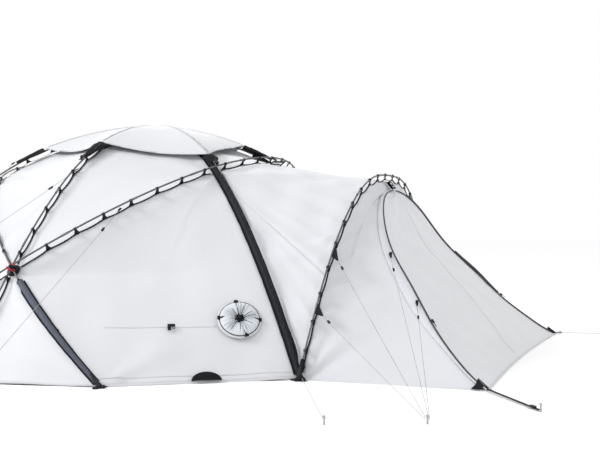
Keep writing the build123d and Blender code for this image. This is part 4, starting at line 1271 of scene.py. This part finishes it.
def port():
    p, x, y, out = wall_axes(0.525, 0.008)
    rows, cols = 16, 33
    s = np.linspace(0, 1, rows)[:, None]
    a = np.linspace(0, np.pi, cols)[None, :]
    radius = 0.096 * s
    lift = 0.014 + 0.008 * (1 - s**2) + 0.0015 * np.cos(a * 6) * s
    grid = p + x * (np.cos(a) * radius)[..., None] + y * (np.sin(a) * radius * PORT_FLAT)[..., None] + out * lift[..., None]
    flap = Mesh().grid(grid).make("port_cloth", PORT, body="port_flap", slot="port_black", replaces=["port_flap"])
    flap.modifiers.new("cloth", "SOLIDIFY").thickness = 0.002
    rim = Mesh()
    edge = [p + (x * math.cos(b) + y * math.sin(b) * PORT_FLAT) * 0.094 + out * 0.016 for b in np.linspace(0, math.pi, 40)]
    rim.strap(edge, [x * math.cos(b) + y * math.sin(b) for b in np.linspace(0, math.pi, 40)], 0.010, 0.003)
    rim.make("port_binding", WEBBING, body="port_flap", slot="webbing_black")
    tag = Mesh()
    q, x, y, out = wall_axes(0.51, 0.338)
    tag.box(q + out * 0.004 + y * 0.012, (x, y, out), (0.052, 0.022, 0.003), 0.003)
    tag.box(q + out * 0.005 - x * 0.014 - y * 0.012, (x, y, out), (0.024, 0.034, 0.004), 0.004)
    tag.ring(q + out * 0.007 + x * 0.016 - y * 0.010, out, 0.009, 0.002)
    q, x, y, out = wall_axes(0.02, 0.33)
    tag.box(q + out * 0.004, (x, y, out), (0.016, 0.014, 0.004), 0.003)
    tag.make("wall_tags", WEBBING, smooth=False, slot="webbing_black")


def on_grid(p, v, u):
    """Points of a grid at row and column shares."""
    rows, cols = p.shape[:2]
    i, j = np.asarray(v) * (rows - 1), np.asarray(u) * (cols - 1)
    i0, j0 = np.minimum(i.astype(int), rows - 2), np.minimum(j.astype(int), cols - 2)
    di, dj = (i - i0)[:, None], (j - j0)[:, None]
    low = p[i0, j0] * (1 - dj) + p[i0, j0 + 1] * dj
    high = p[i0 + 1, j0] * (1 - dj) + p[i0 + 1, j0 + 1] * dj
    return low * (1 - di) + high * di


def seam_on(mesh, p, v, u, width=0.010, thick=0.0014, lift=0.0012, toward=(0, -1, 0.3)):
    """A flat seam that follows a grid's surface along shares (v, u)."""
    n = normals(p, vec(*toward))
    line = on_grid(p, v, u)
    out = unit(on_grid(n, v, u))
    tangent = unit(np.gradient(line, axis=0))
    mesh.strap(line + out * lift, np.cross(tangent, out), width, thick)


def wall_seams(sets):
    mesh = Mesh()
    k = np.linspace(0, 1, 60)
    wall = sets["front"]
    rows = wall.shape[0]
    z = wall[:, 0, 2]
    v = np.interp(0.345 + 0 * k, z, np.linspace(0, 1, rows))
    seam_on(mesh, wall, v, 0.22 + 0.49 * k, 0.007)
    hem = np.interp(0.05, z, np.linspace(0, 1, rows))
    for p in (wall, flipped(wall, 0)):
        seam_on(mesh, p, hem + 0 * k, 0.01 + 0.98 * k, 0.006)
    # The wall seams use the flap's grey: darker than the canopy partly for the seam itself and partly as painted shade
    # along it.
    mesh.make("wall_seams", FLAP_SHADE_GREY, slot="canopy_white")
    strip = Mesh()
    for p in (wall, flipped(wall, 0), flipped(wall, 1), flipped(flipped(wall, 0), 1)):
        strip.strap(p[0] + vec(0, 0, 0.004), vec(0, 0, 1), 0.018, 0.003)
    strip.make("wall_hems", WHITE, slot="canopy_white")


def vestibule_trim(parts):
    tapes, zips, flaps = Mesh(), Mesh(), Mesh()
    t = np.linspace(0.0, 0.985, 260)
    for sign in (1, -1):
        flip = vec(1, sign, 1)
        line = zip_near(t)
        panel = parts["panel"]
        n = normals(panel, vec(1, -1, 0.4))
        v = np.clip(t, 0, 1)
        away = unit(on_grid(panel, v, 0 * t + 0.93) - line)
        out = unit(on_grid(n, v, 0 * t + 0.97))
        cols = 15
        k = np.linspace(0, 1, cols)
        wide = 0.012 + 0.062 * ramp(t, 0.08, 0.42) * (1 - ramp(t, 0.86, 0.97))
        roll = 0.012 * np.sin(np.pi * k) ** 0.7
        p = line[:, None] + away[:, None] * (wide[:, None] * k[None, :])[..., None] + out[:, None] * (0.004 + roll[None, :])[..., None]
        flaps.grid(p * flip)
        # A grey strip along the flap's fold: painted shade at its edge.
        fold = line + away * (wide * 0.98)[:, None] + out * 0.004
        tapes.strap(fold * flip, away * flip, 0.006, 0.002)
    # The flap's grey cloth is painted shade on the vestibule's own cloth.
    flap = flaps.make("zip_flaps", FLAP_SHADE_GREY, slot="canopy_white")
    flap.modifiers.new("cloth", "SOLIDIFY").thickness = 0.002
    tapes.make("flap_fold_painted_shade", SEAM_AND_FOLD_SHADE, slot="canopy_white")
    door = Mesh()
    for sign in (1, -1):
        flip = vec(1, sign, 1)
        line = zip_near(t) + vec(0.006, 0, 0.006)
        inward = unit(vec(0, 1, 0) - 0 * line)
        door.strap((line + inward * 0.008) * flip, vec(0, 1, 0.15), 0.020, 0.003)
        door.tube((line + inward * 0.002 + vec(0.002, 0, 0.002)) * flip, 0.0032, 8)
    k = np.linspace(0.29, 0.53, 60)
    bulge = (0.016 * np.sin(np.pi * (k - 0.29) / 0.24) ** 2)[:, None]
    for drop, wide in ((0.0, 0.020), (0.030, 0.005)):
        stretch = zip_near(k) * vec(1, -1, 1) + vec(0.010, 0, 0.012) - vec(0, 0.6, 0.8) * bulge * drop / 0.010 + vec(0.3, 0, 1) * bulge * 0.4
        door.strap(stretch, vec(0, 0.5, 0.8), wide, 0.004)
    hem = Mesh().strap(parts["door"][0] + vec(0, 0, 0.004), vec(0.5, 0, 1), 0.016, 0.003)
    hem.make("door_hem", DOOR, body="front_door", slot="door_grey")
    door.make("door_zips", ZIP_TAPE, body="front_door", slot="webbing_black")
    seam = Mesh()
    grid = parts["door"]
    k = np.linspace(0.03, 0.97, 60)
    seam_on(seam, grid, k, 0.5 + 0.0 * k, 0.012, toward=(1, 0, 0.6))
    seam.make("door_seams", DOOR, body="front_door", slot="door_grey")
    hems = Mesh()
    for sign in (1, -1):
        flip = vec(1, sign, 1)
        hems.strap((parts["side"][0] + vec(0, 0, 0.004)) * flip, vec(0, 0, 1), 0.012, 0.003)
        hems.strap((parts["panel"][0] + vec(0, 0, 0.004)) * flip, vec(0, 0, 1), 0.012, 0.003)
    hems.make("vestibule_hems", VESTIBULE_SHADED, slot="canopy_white")


def ridge_vents():
    """Two small framed vents: at the hoop's crown and where the ridge meets the dome."""
    frames_mesh, mesh = Mesh(), Mesh()
    places = (
        (vec(2.150, -0.090, 1.325), vec(0.10, -1.0, -0.08), vec(-0.55, 0.05, 0.83), (0.085, 0.060)),
        (vec(1.215, -0.200, 1.500), vec(1.0, -0.35, -0.05), vec(-0.15, 0.75, 0.65), (0.120, 0.060)),
    )
    for centre, x, y, (wide, high) in places:
        x, y = unit(x), unit(y)
        y = unit(y - x * x.dot(y))
        out = np.cross(x, y)
        out = out * np.sign(out.dot(vec(0.3, -1, 0.3)))
        corners = [centre + x * a * wide / 2 + y * b * high / 2 + x * b * 0.010 + out * 0.012 for a, b in ((-1, -1), (1, -1), (1, 1), (-1, 1), (-1, -1))]
        for a, b in zip(corners, corners[1:]):
            run = np.array([a + (b - a) * k for k in np.linspace(-0.06, 1.06, 9)])
            frames_mesh.strap(run, np.cross(unit(b - a), out), 0.015, 0.004)
        frames_mesh.strap([corners[0] + (corners[1] - corners[0]) * k + y * high * 0.45 + out * 0.002 for k in (0.1, 0.5, 0.9)], y, 0.010, 0.003)
        grid = np.array([[corners[0] + (corners[1] - corners[0]) * u + (corners[3] - corners[0]) * v - out * 0.004 * math.sin(math.pi * u) for u in np.linspace(0, 1, 9)] for v in np.linspace(0, 1, 7)])
        mesh.grid(grid)
    frames_mesh.make("ridge_vent_frames", WEBBING, smooth=False, slot="webbing_black")
    made = mesh.make("ridge_vent_mesh", VENT_CLOTH, slot="vent_grey")
    made.modifiers.new("cloth", "SOLIDIFY").thickness = CLOTH


def ends(parts=None):
    front = end_wall_grid(FRONT)
    rows, cols = front.shape[:2]
    cloth("front_wall_cloth", [front], WHITE, "canopy_white", ["front_wall"])
    z = np.linspace(0.108, 0.782, 40)
    u = np.linspace(-1, 1, 33)
    x = END_BASE_X - END_SLOPE * z + 0.012
    door = np.stack([np.repeat(x[:, None], 33, 1), 0.412 * np.repeat(u[None, :], 40, 0), np.repeat(z[:, None], 33, 1)], -1)
    door[..., 0] += ripples(door, 71, 0.004) * edge_fade(40, 33)
    cloth("inner_door_cloth", [door], DOOR, "door_grey", ["inner_door"], "inner_door")
    frame_mesh = Mesh()
    corners = [door[0, 0], door[0, -1], door[-1, -1], door[-1, 0], door[0, 0]]
    for a, b in zip(corners, corners[1:]):
        run = np.array([a + (b - a) * k for k in np.linspace(0, 1, 12)]) + vec(0.006, 0, 0.002)
        frame_mesh.strap(run, np.cross(unit(b - a), vec(1, 0, 0.26)), 0.016, 0.003)
    frame_mesh.make("inner_door_zip", ZIP_TAPE, body="inner_door", slot="webbing_black")


def floor_cloth():
    feet_xy = [
        (END_BASE_X, FOOT_B[1]), (SIDE_FOOT, FOOT_A[1]), (0, -BASE), (-SIDE_FOOT, FOOT_A[1]), (-END_BASE_X, FOOT_B[1]),
    ]
    outline = feet_xy + [(x, -y) for x, y in reversed(feet_xy)]
    ring = np.array([(x * 0.975, y * 0.975) for x, y in outline] + [(outline[0][0] * 0.975, outline[0][1] * 0.975)])
    s = np.concatenate([[0], np.cumsum(np.linalg.norm(np.diff(ring, axis=0), axis=1))])
    even = np.linspace(0, s[-1], 161)
    edge = np.stack([np.interp(even, s, ring[:, 0]), np.interp(even, s, ring[:, 1])], -1)
    share = np.linspace(1, 0.004, 40)[:, None, None]
    xy = edge[None] * share
    p = np.concatenate([xy, 0.003 + np.zeros(xy.shape[:2] + (1,))], -1)
    p[..., 2] += np.abs(ripples(p, 81, 0.003)) * (share[..., 0] < 0.98)
    mesh = Mesh().grid(p, uv=xy)
    made = mesh.make("floor_sheet", FLOOR_CLOTH, slot="floor_grey", replaces=["groundsheet"])
    round(float(area_of(p)), 2)


# ---- guy lines ----------------------------------------------------------------------------------------------

FRONT_PEG, POLE_PEG = vec(3.120, -2.845, 0), vec(2.625, -3.048, 0)
SIDE_PEG, CROSS_PEG = vec(0.480, -3.270, 0), vec(-1.060, -3.210, 0)
STRAP_PEG, FAR_PEG = vec(3.622, -2.290, 0), vec(3.680, 1.650, 0)
PEGS = [FRONT_PEG, POLE_PEG, SIDE_PEG, CROSS_PEG, STRAP_PEG, FAR_PEG]


def flap_tab(t):
    return zip_near(t) + vec(-0.014, -0.042, 0.010)


def pole_tab(path, t, lift):
    return path(t) + outward(path(t)) * lift


GUYS = {
    "hoop_upper": (hoop_at(0.339, 0.026), FRONT_PEG + vec(-0.010, 0.004, 0.030)),
    "hoop_lower": (hoop_at(0.239, 0.026), FRONT_PEG + vec(-0.015, 0.010, 0.022)),
    "door_upper": (flap_tab(0.55), FRONT_PEG + vec(0.006, 0.006, 0.030)),
    "door_lower": (flap_tab(0.352), FRONT_PEG + vec(0.010, 0.010, 0.022)),
    "corner": (vec(2.030, -1.790, 0.030), POLE_PEG + vec(-0.006, 0.008, 0.026)),
    "side_arch": (pole_tab(arch_fabric(FRONT), 0.238, 0.026), SIDE_PEG + vec(0.003, 0.009, 0.030)),
    "cross_pole": (pole_tab(cross_fabric, 0.255, 0.026), CROSS_PEG + vec(0.005, 0.008, 0.030)),
    "front_far": (vec(FRONT_X + 0.030, FRONT_HALF + 0.026, 0.012), FAR_PEG + vec(-0.009, 0, 0.026)),
}
WITH_ADJUSTER = ("hoop_upper", "hoop_lower", "door_upper", "door_lower", "side_arch", "cross_pole")
GUY_D = 0.003


def toward(start, end, distance):
    return start + unit(end - start) * distance


def guy_route(name):
    """The line's tab, the adjuster, where it gives a little, and its peg."""
    tab, peg = GUYS[name]
    give = vec(0, 0, -0.006 * np.linalg.norm(peg - tab))
    return [toward(tab, peg, 0.0095), toward(tab, peg, 0.150) + give, peg]


def curve_of(name, points, thickness=0.0):
    data = bpy.data.curves.new(name, "CURVE")
    data.dimensions, data.bevel_depth, data.bevel_resolution = "3D", thickness / 2, 3
    data.use_fill_caps = thickness > 0
    line = data.splines.new("NURBS")
    line.points.add(len(points) - 1)
    for point, place in zip(line.points, points):
        point.co = (*place, 1)
    line.order_u = 3
    line.use_endpoint_u = True
    line.resolution_u = 24
    made = bpy.data.objects.new(name, data)
    bpy.context.scene.collection.objects.link(made)
    return made


def points_of(points):
    """The points of a route's own smooth line."""
    bare = curve_of("route", points)
    bpy.context.view_layer.update()
    mesh = bpy.data.meshes.new_from_object(bare.evaluated_get(bpy.context.evaluated_depsgraph_get()))
    line = np.array([v.co[:] for v in mesh.vertices])
    bpy.data.objects.remove(bare)
    bpy.data.meshes.remove(mesh)
    return line


def adjuster_piece(name, line):
    """A flat line tensioner with two eyes and the line's loose turn round it."""
    s = along(line)
    spot = np.stack([np.interp(0.24, s, line[:, i]) for i in range(3)])
    next_spot = np.stack([np.interp(0.26, s, line[:, i]) for i in range(3)])
    run = unit(next_spot - spot)
    side = unit(np.cross(run, vec(0, 0, 1)))
    up = np.cross(side, run)
    mesh = Mesh()
    mesh.box(spot + up * 0.0045, (run, side, up), (0.044, 0.014, 0.005), 0.005)
    for d in (-0.015, 0.015):
        mesh.ring(spot + run * d + up * 0.001, run, 0.0052, 0.0018, 16, 6)
    mesh.box(spot - up * 0.0045, (run, side, up), (0.030, 0.010, 0.003), 0.003)
    return mesh.make(f"tensioner_{name}", PLASTIC, smooth=False, body=f"adjuster_{name}", slot="clip_black", replaces=[f"adjuster_{name}"])


def guys():
    tabs = Mesh()
    for t, name in ((0.339, "hoop_upper"), (0.239, "hoop_lower")):
        tip = toward(*GUYS[name], 0.135)
        tabs.plate([hoop_at(t - 0.010, 0.004), hoop_at(t + 0.012, 0.004), tip + vec(0, 0, 0.005), tip - vec(0, 0, 0.005)], vec(0.002, 0, 0))
    for name in ("door_upper", "door_lower"):
        tip = toward(*GUYS[name], 0.050)
        root = GUYS[name][0] + vec(0, 0.012, 0.022)
        tabs.plate([root - vec(0.012, 0, 0), root + vec(0.012, 0, 0), tip + vec(0.005, 0, 0), tip - vec(0.005, 0, 0)], vec(0, 0.002, 0))
    for name, (tab, peg) in GUYS.items():
        route = guy_route(name)
        line = points_of(route)
        made = curve_of(f"line_{name}", route, GUY_D)
        made.data.materials.append(CORD)
        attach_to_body(made, "tent")
        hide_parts(f"guy_{name}")
        extra = [adjuster_piece(name, line)] if name in WITH_ADJUSTER else []
        length = round(float(along(line)[-1]), 3)
        tuple(route[0])
        run = unit(peg - tab)
        side = unit(np.cross(run, vec(0.1, 0.2, 1)))
        tabs.ring(tab + run * 0.004, side, 0.0085, 0.0024, 18, 6)
        tabs.strap([tab - run * 0.026, tab - run * 0.010, tab + run * 0.002], side, 0.018, 0.003)
        tabs.tube([tab + run * d for d in (0.006, 0.011, 0.018, 0.023)], [0.0030, 0.0046, 0.0044, 0.0022], 8)
    tabs.make("guy_loops", WEBBING, smooth=False, slot="webbing_black", replaces=["guy_tabs"])


def strap_and_pegs():
    start = vec(FRONT_X + 0.006, -FRONT_HALF - 0.020, 0.014)
    end = STRAP_PEG + vec(-0.008, 0.010, 0.008)
    line = points_of([start, (start + end) / 2, end])
    run = unit(end - start)
    across = unit(vec(-run[1], run[0], 0))
    mesh = Mesh().strap(line, across, 0.020, 0.003)
    strap = mesh.make("corner_strap", WEBBING, slot="webbing_black", replaces=["front_strap"])
    length = round(float(along(line)[-1]), 3)
    buckle = Mesh()
    spot = start + run * (length * 0.86)
    buckle.box(spot + vec(0, 0, 0.005), (run, across, (0, 0, 1)), (0.046, 0.034, 0.007), 0.007)
    buckle.box(spot + run * 0.03 + vec(0, 0, 0.006), (run, across, (0, 0, 1)), (0.020, 0.026, 0.009), 0.004)
    ladder = buckle.make("strap_buckle", PLASTIC, smooth=False, slot="clip_black")
    corner = Mesh()
    for sign in (1, -1):
        flip = vec(1, sign, 1)
        foot = vec(FRONT_X, -FRONT_HALF, 0.006)
        along_hem, up_panel = unit(vec(-0.98, -0.12, 0.0)), unit(vec(-0.62, 0.42, 0.52))
        into_door = unit(vec(-0.1, 1, 0.02))
        for k, (a, b) in enumerate(((along_hem, up_panel), (into_door, up_panel))):
            reach = (0.105, 0.105) if k == 0 else (0.05, 0.105)
            out = unit(np.cross(a, b))
            out = out * np.sign(out.dot(vec(1, -1, 0.5)))
            outline = [foot + out * 0.005, foot + a * reach[0] + out * 0.005, foot + (a * reach[0] + b * reach[1]) * 0.45 + out * 0.006, foot + b * reach[1] + out * 0.005]
            corner.plate([q * flip for q in outline], out * flip * 0.003)
        corner.ring((foot + vec(0.012, -0.018, 0.006)) * flip, (0, 0, 1), 0.012, 0.003)
    corner.make("corner_patches", WEBBING, smooth=False, slot="webbing_black")
    pegs = Mesh()
    for place in PEGS:
        for angle in (0.4, 2.494, 4.589):
            d = vec(math.cos(angle), math.sin(angle), 0)
            side = vec(-d[1], d[0], 0)
            outline = [place + d * a + vec(0, 0, z) for a, z in ((0, 0.0), (0.0062, 0.0), (0.0062, 0.034), (0.0045, 0.045), (0, 0.045))]
            pegs.plate(outline, side * 0.0016)
        pegs.tube([place + vec(0, 0, z) for z in (0.043, 0.0445, 0.047, 0.0475)], [0.0070, 0.0088, 0.0088, 0.0074], 14)
        pegs.ring(place + vec(0.004, -0.002, 0.038), (0.3, 0.2, 1), 0.011, 0.0014, 20, 6)
    pegs.make("peg_heads", STEEL, smooth=False, slot="peg_steel", replaces=["pegs"])


def sliders():
    """Each zip slider: a body on the zip, its pull and a cord loop."""
    for sign, name in ((1, "near"), (-1, "far")):
        flip = vec(1, sign, 1)
        end, top = vec(2.768, -1.320, 0.368), vec(2.376, -0.890, 0.838)
        run = unit(top - end)
        away = unit(vec(run[2], 0, -run[0]))
        side = np.cross(run, away)
        place = end + away * 0.020
        mesh = Mesh()
        axes = tuple(tuple(v * flip) for v in (run, side, away))
        mesh.box(place * flip, axes, (0.034, 0.017, 0.006), 0.006)
        mesh.box((place + away * 0.006) * flip, axes, (0.026, 0.007, 0.006), 0.002)
        mesh.box((place - run * 0.036 + away * 0.005) * flip, axes, (0.042, 0.010, 0.003), 0.003)
        mesh.ring((place - run * 0.016 + away * 0.007) * flip, tuple(side * flip), 0.006, 0.0014, 16, 6)
        mesh.make(f"slider_{name}", PLASTIC, smooth=False, body=f"zip_slider_{name}", slot="clip_black", replaces=[f"zip_slider_{name}"])


def cad_finishes():
    """The poles and ferrules keep their CAD shape."""
    for name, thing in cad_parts.items():
        if name.startswith("pole_") and name != "pole_feet":
            material = FERRULE if name == "pole_ferrules" else POLE
            thing.data.materials.clear()
            thing.data.materials.append(material)


camera()
studio()
dome = dome_fabric()
cloth("tent_roof_ends", [end_roof(FRONT), end_roof(REAR)], WHITE, "canopy_white", ["roof_ends"])
cloth("tent_rear_wall", [end_wall_grid(REAR)], WHITE, "canopy_white", ["rear_wall"])
roof_cap()
front = vestibule()
ends()
floor_cloth()
sleeves()
hoop_sleeves()
webbing()
clips()
hubs()
feet()
vent()
port()
wall_seams(dome)
vestibule_trim(front)
ridge_vents()
sliders()
guys()
strap_and_pegs()
cad_finishes()
